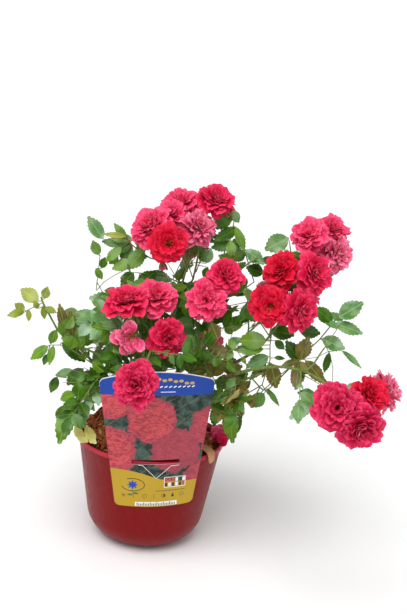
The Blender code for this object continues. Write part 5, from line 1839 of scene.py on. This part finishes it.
def make_card(finishes):
    """The printed card, slotted over the rim, with its tongue behind. Fields by face."""
    outer = [k / 9 * 0.86 for k in range(1, 10)] + [0.86 + 0.14 * sin(pi / 2 * k / 7) for k in range(1, 8)]
    columns = [(-1, u) for u in outer[::-1]] + [(0, k / 8) for k in range(-8, 9)] + [(1, u) for u in outer]
    first, last = len(outer), len(outer) + 16
    levels = [(zone, k / rows, finish) for zone, rows, finish in CARD_ZONES for k in range(rows)]
    levels += [(5, 0, WHITE), (5, 1, WHITE)]
    points = [label_point(*card_place(*level[:2], *column)) for level in levels for column in columns]
    wide = len(columns)
    slot_row = next(j for j, level in enumerate(levels) if level[0] == 2)
    faces, marks = [], []
    for j, level in enumerate(levels[:-1]):
        for i in range(wide - 1):
            if slot_row <= j < slot_row + 2 and first <= i < last:
                continue
            a, b = j * wide + i, (j + 1) * wide + i
            faces.append((a, a + 1, b + 1, b))
            marks.append(level[2])
    inside = wall_radius(TONGUE_END) - WALL / cos(WALL_TAPER) - LABEL_THICKNESS / 2 - 0.0008
    edge = [(slot_row + 2) * wide + i for i in range(first, last + 1)]
    roots = [points[n] for n in edge]
    for step in range(1, 8):
        row, narrow = [], 1.0 - 0.025 * max(0, step - 2)
        for root in roots:
            x = root.x * narrow
            y = -sqrt(inside**2 - x * x) + 0.0003 * step
            z = root.z + (0.0004 if step == 1 else (TONGUE_END - root.z) * (step - 1) / 6)
            y = (root.y + y) / 2 if step == 1 else y
            row.append(len(points))
            points.append(Vector((x, y, z)))
        for k in range(len(row) - 1):
            faces.append((edge[k + 1], edge[k], row[k], row[k + 1]))
            marks.append(TONGUE)
        edge = row
    card = plain_mesh("printed_card", [LABEL_SWING @ p for p in points], faces, *finishes)
    card.data.polygons.foreach_set("material_index", marks)
    places = card.data.uv_layers.new(name="card")
    for loop in card.data.loops:
        at = LABEL_SWING.transposed() @ card.data.vertices[loop.vertex_index].co
        places.data[loop.index].uv = at.x / PICTURE_SIZE, (at.z - SLOT_LEVEL) / PICTURE_SIZE
    sheet = {"thickness": LABEL_THICKNESS, "offset": 0.0, "use_even_offset": True}
    modify(card, "SOLIDIFY", **sheet, material_offset=WHITE, material_offset_rim=WHITE)
    return smoothed(card, 40)


# ---------------------------------------------------------------- symbols printed on the card
def on_card(s, t, lift):
    """A point of the card's front, lifted off its middle."""
    here = label_point(s, t)
    right, up = label_point(s + 0.0005, t) - here, label_point(s, t + 0.0005) - here
    return LABEL_SWING @ (here + right.cross(up).normalized() * lift)


INK_TOP, INK_FOOT = LABEL_THICKNESS / 2 + 0.00007, LABEL_THICKNESS / 2 - 0.00010


def ink_band(ink, path, width, mark, over=0.0):
    """A closed strip of ink along a path of card points, over another if it has to be."""
    rows, last = [], len(path) - 1
    for i, (s, t) in enumerate(path):
        a, b = path[max(0, i - 1)], path[min(last, i + 1)]
        run = sqrt((b[0] - a[0]) ** 2 + (b[1] - a[1]) ** 2)
        ds, dt = -(b[1] - a[1]) / run * width / 2, (b[0] - a[0]) / run * width / 2
        for lift in (INK_TOP + over, INK_FOOT):
            rows += [on_card(s + ds, t + dt, lift), on_card(s - ds, t - dt, lift)]
    faces = [(0, 2, 3), (0, 3, 1)]
    for a in range(0, 4 * last, 4):
        for p, q in ((0, 1), (1, 3), (3, 2), (2, 0)):
            faces += [(a + p, a + q, a + 4 + q), (a + p, a + 4 + q, a + 4 + p)]
    e = 4 * last
    ink.add(rows, faces + [(e, e + 1, e + 3), (e, e + 3, e + 2)], marks=mark)


def ink_patch(ink, outline, mark):
    """A closed flat shape of ink, its outline anticlockwise round its middle."""
    count = len(outline)
    s, t = sum(p[0] for p in outline) / count, sum(p[1] for p in outline) / count
    points = [on_card(*p, lift) for lift in (INK_TOP, INK_FOOT) for p in outline]
    points += [on_card(s, t, INK_TOP), on_card(s, t, INK_FOOT)]
    faces = []
    for k in range(count):
        m = (k + 1) % count
        faces += [(k, m, 2 * count), (count + m, count + k, 2 * count + 1)]
        faces += [(k, count + k, count + m), (k, count + m, m)]
    ink.add(points, faces, marks=mark)


def arc(s, t, radius, start, end, steps=16, tall=1.0):
    turns = [radians(start + (end - start) * k / steps) for k in range(steps + 1)]
    return [(s + radius * cos(a), t + radius * tall * sin(a)) for a in turns]


def straight(a, b, step=0.003):
    count = max(1, round(sqrt((b[0] - a[0]) ** 2 + (b[1] - a[1]) ** 2) / step))
    return [(a[0] + (b[0] - a[0]) * k / count, a[1] + (b[1] - a[1]) * k / count) for k in range(count + 1)]


def make_symbols(finishes):
    """Plain garden symbols in ink: marks 0 white, 1 dark, 2 blue, 3 gold, 4 green, 5 coral."""
    ink = Sheaf()
    white, dark, blue, gold, green, coral = range(6)

    def line(a, b, width, mark, over=0.0):
        ink_band(ink, straight(a, b), width, mark, over)

    for k in range(9):
        s = -0.012 + 0.0068 * k
        t = 0.1075 - 9.0 * s * s * 0.35 + 0.0008 * (-1) ** k
        ink_patch(ink, arc(s, t, 0.0030, 0, 360, 8, 0.66)[:-1], gold)
    for k in range(16):
        s = -0.042 + 0.0056 * k
        line((s, 0.0975), (s + 0.0034, 0.0992), 0.0014, white)
    line((0.004, 0.0915), (0.022, 0.0915), 0.0009, white)
    valley = (0.001, -0.0265)
    fall = straight((-0.022, -0.0072), (-0.0165, -0.0076)) + straight((-0.016, -0.008), valley)
    rise = straight(valley, (0.0185, -0.0095)) + straight((0.0195, -0.0088), (0.030, -0.0086))
    ink_band(ink, fall, 0.0006, white)
    ink_band(ink, rise, 0.0006, white)
    s, t = FLOWER_AT
    ink_band(ink, arc(s, t, 0.0150, -160, 120, 26, 0.62), 0.0010, dark)
    for a in turns(8):
        tip = (s + 0.0078 * cos(a), t + 0.0078 * sin(a) * 0.95)
        sides = [(s + cos(b) * 0.0040, t + sin(b) * 0.0038) for b in (a - 0.38, a + 0.38)]
        ink_patch(ink, [(s, t), sides[0], tip, sides[1]], blue)
    line((s, -0.0440), (-0.0270, -0.0560), 0.0007, green)
    for s, t in ((-0.0245, -0.049), (-0.0315, -0.0515)):
        around = [radians(a) for a in range(0, 360, 45)]
        ink_patch(ink, [(s + 0.0036 * cos(a), t + 0.0015 * sin(a)) for a in around], green)
    left, low, wide, tall = 0.0115, -0.0405, 0.0275, 0.0150
    border = [(left, low), (left + wide, low), (left + wide, low + tall), (left, low + tall)]
    for a, b in zip(border, border[1:] + border[:1]):
        line(a, b, 0.0008, white)
    for k in range(12):
        s, t = left + 0.0023 + (k % 6) * 0.00458, low + 0.0040 + (k // 6) * 0.0071
        box = [(s + x * 0.0017, t + y * 0.0027) for x, y in ((-1, -1), (1, -1), (1, 1), (-1, 1))]
        ink_patch(ink, box, coral if k in (5, 6, 7, 8) else white if k % 2 else dark)
    line((0.0010, -0.0455), (0.0400, -0.0455), 0.0007, dark)
    for k, s in enumerate((-0.0400, -0.0130, -0.0010, 0.0110, 0.0230, 0.0350)):
        if k in (1, 3, 5):
            ink_band(ink, arc(s, -0.0530, 0.0026, 0, 360, 16), 0.0005, dark)
        if k == 0:
            for a in (radians(0), radians(60), radians(120)):
                d = (0.003 * cos(a), 0.003 * sin(a))
                line((s - d[0], -0.053 - d[1]), (s + d[0], -0.053 + d[1]), 0.0005, dark)
        elif k == 2:
            line((s, -0.0565), (s, -0.0495), 0.0005, dark)
        elif k == 3:
            ink_patch(ink, arc(s, -0.0530, 0.0024, -90, 90, 8), dark)
        elif k == 4:
            ink_patch(ink, [(s, -0.0492)] + arc(s, -0.0540, 0.0018, 150, 390, 10), dark)
    line((-0.0250, -0.0652), (0.0290, -0.0652), 0.0062, white)
    for k in range(24):
        s, tall = -0.0222 + 0.0021 * k, 0.0052 if k % 4 == 0 else 0.0036
        ink_band(ink, [(s, -0.0680), (s, -0.0680 + tall)], 0.0010, dark, 0.00003)
    return ink.piece("card_symbols", finishes, 30)


def make_crown(finish):
    """The flared crown and a stub for every cane, run together under knobbly bark."""
    verts, faces = lathe([(r, CROWN_FOOT + z) for r, z in CROWN_PROFILE], 40)
    for shoot in SHOOTS:
        path = [CROWN_MIDDLE + shoot.launch * reach for reach in (0.006, 0.016, STUB_REACH + 0.002)]
        more, ring = tube(path, CANE_BASE_RADIUS * 1.35, CANE_BASE_RADIUS * 1.02, 12)
        faces += [tuple(len(verts) + n for n in face) for face in ring]
        verts += more
    body = modify(plain_mesh("body", verts, faces), "REMESH", mode="VOXEL", voxel_size=0.0009)
    modify(body, "SMOOTH", factor=0.5, iterations=4)
    knobs = {"Knob_Height": 0.0036, "Knob_Size": 0.009, "Furrow_Depth": 0.0012, "Furrow_Size": 0.0030}
    return run_tree(body, bark_tree(), "old_crown", **knobs, Finish=finish)


# ---------------------------------------------------------------- buds and litter
# middle, the way it faces (azimuth, elevation), radius
BUDS = [
    ((-0.003, -0.012, 0.379), (-70, -48), 0.0120),
    ((-0.096, -0.024, 0.252), (-120, 60), 0.0070),
    ((0.060, 0.160, 0.276), (70, 60), 0.0075),
    ((-0.060, 0.126, 0.305), (130, 65), 0.0080),
    ((0.172, 0.098, 0.392), (60, 70), 0.0080),
]


def bear_buds(petals, greens, twigs, rng):
    """Buds on short stalks from the nearest twig."""
    hosts = list(twigs)
    for middle, facing, size in BUDS:
        middle, facing = Vector(middle), aimed(*facing)
        foot = middle - facing * size * 0.62
        start = near_spot(foot, hosts)
        twigs.append((sweep(start, (foot - start).normalized(), foot, facing, 6), 0.0010, 0.0009))
        rose_bud(frame_of(middle, facing, UPRIGHT), size, petals, greens, rng)


# fallen petals on the rim: foot, the way each runs, the way its face looks, length and colour
FALLEN_PETALS = [
    ((0.083, -0.014, 0.1470), (0.45, 0.10, 0.80), (-0.2, -0.9, 0.5), 0.021, "faded"),
    ((0.089, -0.022, 0.1460), (0.75, -0.05, 0.50), (-0.2, -0.8, 0.7), 0.020, "rose"),
    ((0.084, -0.004, 0.1480), (0.80, 0.05, 0.45), (-0.3, -0.7, 0.8), 0.021, "rose"),
    ((0.093, -0.030, 0.1450), (0.55, -0.35, 0.45), (0.0, -0.7, 0.8), 0.016, "crimson"),
    ((-0.093, -0.006, 0.1440), (-0.45, 0.10, 0.80), (-0.2, -0.9, 0.3), 0.013, "faded"),
]
# fallen leaflets on the rim: foot, tip, half width
FALLEN_LEAVES = [
    ((-0.0880, -0.052, 0.1445), (-0.1010, -0.030, 0.1580), 0.0064),
    ((-0.0730, -0.055, 0.1450), (-0.0865, -0.030, 0.1580), 0.0072),
    ((-0.0800, -0.056, 0.1450), (-0.0960, -0.048, 0.1490), 0.0055),
    ((-0.0690, -0.062, 0.1460), (-0.0810, -0.052, 0.1500), 0.0042),
]


def drop_litter(petals, yellowed, rng):
    """Fallen petals and yellowed leaflets that rest on the bark and the rim."""
    for foot, run, face, length, colour in FALLEN_PETALS:
        run, face = Vector(run).normalized(), Vector(face).normalized()
        face = (face - run * face.dot(run)).normalized()
        place = frame_of(Vector(foot), face, face.cross(run))
        flat = (0, 0, 0, (86, 78), 1.0, 0.42, 0.35, 0.10, 0.05, 0.2, rng)
        add_petal(petals[colour], place, length, *flat)
    for foot, tip, half in FALLEN_LEAVES:
        foot, run = Vector(foot), Vector(tip) - Vector(foot)
        place = frame_of(foot, run, Vector((0.2, -0.6, 0.9)))
        add_leaflet(yellowed, place, run.length, half, 0.15, 0.10, -0.02, 0.0008, 2.0 + half * 400)


def fallen_chip(finish):
    """One pale strip of bark that has fallen over the rim and bent across it."""
    away = Vector((cos(radians(-38)), sin(radians(-38)), 0))
    along = Vector((-away.y, away.x, 0))
    verts, faces, last = [], [], len(CHIP_PATH) - 1
    for i, (out, height, half) in enumerate(CHIP_PATH):
        a, b = CHIP_PATH[max(0, i - 1)], CHIP_PATH[min(last, i + 1)]
        run = Vector((b[0] - a[0], b[1] - a[1])).normalized()
        for thick in (0.0005, -0.0005):
            lifted = away * (out - run.y * thick) + Vector((0, 0, height + run.x * thick))
            verts += [lifted + along * (half + 0.0010 * sin(i * 2.3)), lifted, lifted - along * half]
    ring = [0, 1, 2, 5, 4, 3]
    for a in range(0, 6 * last, 6):
        for p, q in zip(ring, ring[1:] + ring[:1]):
            faces.append((a + p, a + q, a + 6 + q, a + 6 + p))
    e = 6 * last
    faces += [(0, 3, 4, 1), (1, 4, 5, 2), (e, e + 1, e + 4, e + 3), (e + 1, e + 2, e + 5, e + 4)]
    chip = plain_mesh("fallen_bark", verts, faces, finish)
    modify(chip, "SUBSURF", levels=2, render_levels=2)
    chip.data.shade_smooth()
    return chip


# ---------------------------------------------------------------- what each shoot wears
TINTS = {
    # name: face, its deep tone, veins, roughness, margin, the colour of the patches of painted sky
    # reflection, underside, underside's veins
    "mid": ("6a9026", "4a7814", "98b45e", 0.42, None, "86aa60", "829c50", "a0b478"),
    "dark": ("3f6c0c", "2a5006", "6c8c38", 0.38, None, "648e4a", "608038", "849c58"),
    # "blue": whole leaves pale bluish-green as a painted reflection of the sky on their glossy faces
    "blue": ("7ea468", "50823c", "a8c09c", 0.42, None, "a8c4a6", "8ca87c", "a8bc9a"),
    "olive": ("98a038", "7c8c30", "c4c878", 0.44, None, "aab45c", "9ca456", "b4b878"),
    "bronze": ("78722e", "545422", "a8a058", 0.40, "74502e", "7c8858", "8a8a4a", "aca066"),
}
# the tints dealt to each shoot's sprays, and how often; "blue" is the painted reflection of the sky
WEAR = {
    "top": {"mid": 4, "dark": 5},
    "upper_right": {"mid": 5, "dark": 6, "blue": 1},
    "right_high": {"mid": 5, "dark": 5},
    "centre": {"mid": 3, "dark": 8, "blue": 1},
    "left": {"dark": 5, "blue": 1, "mid": 6},
    "front": {"dark": 1},
    "right_low": {"blue": 7, "dark": 2},
    "right_mid": {"bronze": 6, "mid": 2, "dark": 1},
    "front_right": {"bronze": 3, "dark": 6, "mid": 2},
    "low_right": {"bronze": 4, "dark": 4, "mid": 2},
    "left_arm": {"olive": 3, "mid": 4, "dark": 3},
    "upper_left": {"olive": 1, "mid": 6, "dark": 2},
    "low_left": {"mid": 5, "dark": 4, "blue": 1},
}
BACK_WEAR = {"mid": 5, "dark": 3, "blue": 2}
LOOKS = {
    "top": ["crimson", "rose", "rose", "red open", "faded", "rose"],
    "centre": ["crimson", "rose faded"],
    "left": ["crimson", "rose", "crimson", "spent"],
    "front": ["deep"],
    "right_high": ["rose", "rose", "faded", "red", "crimson", "red open", "crimson"],
    "right_low": ["deep", "red", "faded", "deep"],
    "back_left": ["crimson", "rose"],
    "back_right": ["crimson", "rose", "faded"],
    "back": ["crimson"],
    "back_top": ["crimson"],
}
# blooms whose petals turn another way than their solids: shoot and number, way, fullness
SHOWN = {
    ("left", 0): ((-115, 66), 1.10),
    ("left", 1): ((-82, 54), 1.12),
    ("left", 2): ((-62, 8), 1.08),
    ("left", 3): ((-88, 8), 1.28),
    ("top", 0): ((-70, 50), 1.10),
    ("top", 1): ((-100, 52), 1.10),
    ("top", 2): ((-128, 34), 1.20),
    ("top", 4): ((-62, 28), 1.06),
    ("top", 5): ((-112, 42), 1.08),
    ("right_high", 0): ((-112, 36), 0.96),
    ("right_high", 1): ((-70, 46), 0.98),
    ("right_high", 2): ((-58, 20), 1.06),
    ("right_high", 3): ((-122, 26), 1.08),
    ("right_high", 4): ((-62, 17), 1.10),
    ("right_high", 6): ((-55, 6), 1.08),
    ("right_low", 2): ((-30, 20), 1.12),
    ("right_low", 3): ((-85, -14), 1.10),
}
PETAL_COLOURS = {
    # name: claw (painted shade between the petals), middle, margin (painted highlight), the reverse's middle
    # and margin (painted highlight)
    "crimson": ("ba0a3c", "e21e4c", "f84c7a", "ee4c76", "f87c9a"),
    "rose": ("d01c52", "f03466", "ff7298", "f2608a", "fc98b2"),
    "red": ("a60624", "da0e32", "f03454", "e03a56", "f2667e"),
    "faded": ("c01c50", "ee5482", "ffa6be", "ea6e94", "fcb6ca"),
    "deep": ("90042e", "d0164a", "f4507a", "de4470", "f27c9c"),
}
# spacing of the smaller leaves along each shoot's limbs, and the span of their lengths
FILL = {
    "top": (0.030, 0.050, 0.064),
    "upper_right": (0.032, 0.052, 0.068),
    "right_high": (0.030, 0.050, 0.064),
    "right_low": (0.042, 0.052, 0.064),
    "centre": (0.026, 0.048, 0.062),
    "left": (0.020, 0.048, 0.062),
    "front": (0.034, 0.040, 0.050),
    "left_arm": (0.024, 0.044, 0.058),
    "upper_left": (0.026, 0.048, 0.062),
    "right_mid": (0.020, 0.042, 0.058),
    "front_right": (0.018, 0.042, 0.056),
    "low_right": (0.018, 0.042, 0.058),
    "low_left": (0.019, 0.048, 0.064),
}
BACK_FILL = (0.020, 0.048, 0.066)
# inks: name, colour, and what it shades into
CARD_INKS = [
    ("yellow ink", "be9c2c", "b29226"),
    ("blue ink", "2248a4", "1c4098"),
    ("coral ink on the tongue", "a8161e", "94121a"),
    ("bare white card", "e9e9e6", "deddda"),
]
SYMBOL_INKS = [
    ("white ink", "f0f0ea", "e2e2dc"),
    ("dark ink", "3c3a34", "4a4638"),
    ("cyan blue ink", "24459c", "2c55b0"),
    ("gold ink", "cdb068", "b89a50"),
    ("green ink", "4f7a3a", "42692f"),
    ("coral ink", "c85a58", "b44a4c"),
]
# barks of the bed: name, dark and light; and each one's shreds: length, width, thickness, bend, density
BARKS = [
    ("shredded bark", "844426", "b0683e"),
    ("sun-bleached bark", "b07a50", "d6a47c"),
    ("damp bark", "4a2010", "7a3e20"),
]
SHREDS = [
    ((0.022, 0.0042, 0.0014, 0.0020), 52000),
    ((0.019, 0.0034, 0.0012, 0.0014), 22000),
    ((0.014, 0.0046, 0.0015, 0.0010), 30000),
]


def make_shreds(barks, strew):
    """The strewn shreds of each bark, one piece for each."""
    chips = []
    sizes = {"Tilt": 0.42, "Smallest": 0.55, "Largest": 1.25, "Hang": 0.0}
    for number, (size, density) in enumerate(SHREDS):
        shape, name = shred(*size), f"bark_shreds_{number + 1}"
        rule = {"Shape": shape, "Density": density, "Seed": 3 + number, "Finish": barks[number]}
        chips.append(run_tree(mound_patch(), strew, name, **rule, **sizes))
        drop(shape)
    return chips


def make_canes(round_limb, strew):
    """The canes, thickened and barked along their lines, and the prickles on them."""
    green = rose_bark("rose bark, green", "42561e", "687c38", 0.5, 0.00012, "7a4a34")
    lines = [(s.stretch(0.0, s.bare, 22), CANE_BASE_RADIUS, BARE_CANE_TIP_RADIUS) for s in SHOOTS]
    rule = {"Sides": 12, "Grain": 0.006, "Finish": green}
    canes = run_tree(lines_of(lines), round_limb, "canes", **rule, Relief=0.0009)
    hosts = run_tree(lines_of(lines), round_limb, "hosts", **rule, Relief=0.0)
    hook, flesh = prickle(), plant_flesh("prickle", "9c6a4a", "7a3c2c", 0.004)
    rule = {"Shape": hook, "Density": 1500.0, "Seed": 8, "Tilt": 0.12, "Hang": 1.0, "Finish": flesh}
    thorns = run_tree(hosts, strew, "prickles", **rule, Smallest=0.8, Largest=1.5)
    drop(hook)
    return canes, thorns


def dress_leaves(masses, rng):
    """The leaves sorted by tint, their stalks' lines, and the lines of the twigs that bear them."""
    blades, stalks, twigs = {tint: Sheaf() for tint in TINTS}, [], []
    for mass in masses:
        wear = WEAR.get(mass.shoot.name, BACK_WEAR)
        sprays, bearing = {}, {0, *range(len(mass.shoot.sprays) + 1, len(mass.limbs))}
        for leaf in mass.leaves:
            if leaf.owner not in sprays or rng.random() < 0.35:
                sprays[leaf.owner] = rng.choices(list(wear), list(wear.values()))[0]
            if dress_leaf(leaf, blades[sprays[leaf.owner]], stalks, rng):
                bearing.add(leaf.owner)
        twigs += [mass.limbs[owner] for owner in sorted(bearing)]
    dress_sprigs(blades, stalks, twigs, rng)
    return blades, stalks, twigs


def dress_blooms(masses, petals, greens, stamens, rng):
    """Every bloom in the look and colour that its shoot's list gives it."""
    for mass in masses:
        name = mass.shoot.name
        for number, (bloom, look) in enumerate(zip(mass.shoot.blooms, LOOKS.get(name, []))):
            colour, _, state = look.partition(" ")
            state = state or (colour if colour in ("faded", "spent") else "fresh")
            colour = "faded" if colour == "spent" else colour
            shown = SHOWN.get((name, number), ())
            dress_bloom(bloom, state, petals[colour], greens, stamens, rng, *shown)


def main():
    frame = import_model()
    rng, noise = Random(5), np.random.default_rng(5)
    canes_of = [name for name in frame["nodes"] if name.startswith("cane_")]
    masses_of = [name for name in frame["nodes"] if name.startswith("mass_")]

    # the growing rule first, because everything else hangs on its limbs
    masses = [Mass(shoot) for shoot in SHOOTS]
    fixed = [shape_tree(made) for name, made in frame["nodes"].items() if name not in masses_of]
    grow_leaves(masses, fixed)
    thicken(masses, fixed, rng)

    # pot, card, bark, crown and canes
    pot = make_pot(moulded_polypropylene())
    card = make_card([printed_picture()] + [offset_ink(*ink) for ink in CARD_INKS])
    symbols = make_symbols([offset_ink(*ink) for ink in SYMBOL_INKS])
    strew, round_limb = scatter_tree(), limb_tree()
    barks = [shredded_bark(*bark) for bark in BARKS]
    bed, chips = make_bed(barks[2]), make_shreds(barks, strew)
    crown = make_crown(rose_bark("old rose bark", "4a3a28", "857056", 0.85, 0.0004))
    canes, thorns = make_canes(round_limb, strew)

    # leaves, sorted by tint
    blades, stalks, twig_lines = dress_leaves(masses, rng)
    soft = []
    for tint, (face, deep, vein, rough, edge, sky_sheen, back, back_vein) in TINTS.items():
        finishes = [
            leaf_blade(f"rose leaf, {tint}", face, deep, vein, rough, edge, sky_sheen),
            leaf_back(f"rose leaf underside, {tint}", back, back_vein),
        ]
        soft.append(blades[tint].piece(f"leaves_{tint}", finishes, 75))
    rule = {"Sides": 5, "Relief": 0.0, "Grain": 0.01}
    flesh = plant_flesh("leaf stalk", "7d9048", "8a6a40", 0.02)
    soft.append(run_tree(lines_of(stalks), round_limb, "leaf_stalks", **rule, Finish=flesh))

    # blooms and buds, sorted by colour, and what has fallen
    petals = {colour: Sheaf() for colour in PETAL_COLOURS}
    greens, stamens, yellowed = Sheaf(), Sheaf(), Sheaf()
    dress_blooms(masses, petals, greens, stamens, noise)
    drop_litter(petals, yellowed, noise)
    bear_buds(petals["rose"], greens, twig_lines, noise)
    for colour, (claw, middle, margin, under, under_margin_highlight) in PETAL_COLOURS.items():
        finishes = [
            petal_face(f"rose petal, {colour}", claw, middle, margin),
            petal_face(f"rose petal reverse, {colour}", under, under, under_margin_highlight, 0.6),
        ]
        soft.append(petals[colour].piece(f"petals_{colour}", finishes, 75))
    soft.append(greens.piece("sepals_and_hips", [plant_flesh("sepal", "6f8a45", "566f34")], 60))
    young = rose_bark("rose bark, young shoots", "4c6a28", "748c40", 0.42, 0.00008, "84543e")
    rule = {"Sides": 7, "Relief": 0.0003, "Grain": 0.004, "Finish": young}
    twigs = run_tree(lines_of(twig_lines), round_limb, "twigs", **rule)
    cream = [
        leaf_blade("yellowed rose leaf", "fff8a8", "fff07c", "fffde0", 0.55),
        leaf_back("yellowed rose leaf underside", "fdf2b4", "fff8da"),
    ]
    soft.append(yellowed.piece("fallen_leaves", cream, 75))
    pale_chip = fallen_chip(shredded_bark("pale bark", "a87450", "c89470"))
    anthers = [plant_flesh("filament", "d8a860", "b06a60"), plant_flesh("anther", "b98a3c", "7a4a2c")]
    soft.append(stamens.piece("stamens", anthers, 60))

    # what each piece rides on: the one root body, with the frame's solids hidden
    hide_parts("pot")
    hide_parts("label")
    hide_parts("substrate")
    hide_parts("crown")
    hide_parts(*canes_of)
    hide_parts(*masses_of)
    for slot, pieces in (
        ("pot", [pot]),
        ("card", [card, symbols]),
        ("bark", [bed, *chips, pale_chip]),
        ("old_wood", [crown]),
        ("cane", [canes, thorns, twigs]),
        ("foliage", soft),
    ):
        for piece in pieces:
            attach(piece, "root")

    set_stage(bpy.context.scene)


def shape_tree(made):
    mesh = made.data
    return BVHTree.FromPolygons([v.co for v in mesh.vertices], [tuple(p.vertices) for p in mesh.polygons])


# ---------------------------------------------------------------- camera, floor, light
HORIZON_GLOW, OVERHEAD_GLOW = 1.04, 0.42
# name, the way its light travels, the angle of its soft source, strength
LAMPS = [("overhead light", (0.20, 0.50, -1.0), 50, 2.5)]
FLOOR_REACH = 60
SENSOR_HEIGHT = 24.0


def set_stage(scene):
    """The camera where it stood, a wide pale floor, a white surround and a large soft light."""
    right, up, ahead = CAMERA_AXES
    lens = bpy.data.cameras.new("camera")
    lens.sensor_fit, lens.sensor_height = "VERTICAL", SENSOR_HEIGHT
    lens.lens = FOCAL_PIXELS / FRAME_HEIGHT * SENSOR_HEIGHT
    camera = linked("camera", lens)
    camera.matrix_world = Matrix((right, up, -ahead)).transposed().to_4x4()
    camera.location = CAMERA_AT
    scene.camera = camera

    pale, shader, node = surface("pale floor paint", "f8f8f8", 0.8)
    set_sockets(shader, Base_Color=node("Mix", grain(node, 0.3, 2.0), "f7f7f7", "fafafa"))
    corners = [(x * FLOOR_REACH, y * FLOOR_REACH, 0) for x, y in ((-1, -1), (1, -1), (1, 1), (-1, 1))]
    plain_mesh("floor", corners, [(0, 1, 2, 3)], pale)

    sky = bpy.data.worlds.new("white surround")
    sky.use_nodes = True
    node = partial(add, sky.node_tree)
    height = node("SeparateXYZ", node("TexCoord").outputs["Generated"]).outputs["Z"]
    glow = node("MapRange", height, 0.20, 0.45, HORIZON_GLOW, OVERHEAD_GLOW)
    set_sockets(sky.node_tree.nodes["Background"], Color=(1.0, 1.0, 1.0, 1.0), Strength=glow)
    scene.world = sky
    for name, way, spread, power in LAMPS:
        lamp = bpy.data.lights.new(name, "SUN")
        lamp.energy, lamp.angle = power, radians(spread)
        made = linked(name, lamp)
        made.rotation_euler = Vector(way).to_track_quat("-Z", "Y").to_euler()
    scene.view_settings.view_transform = "Standard"


main()
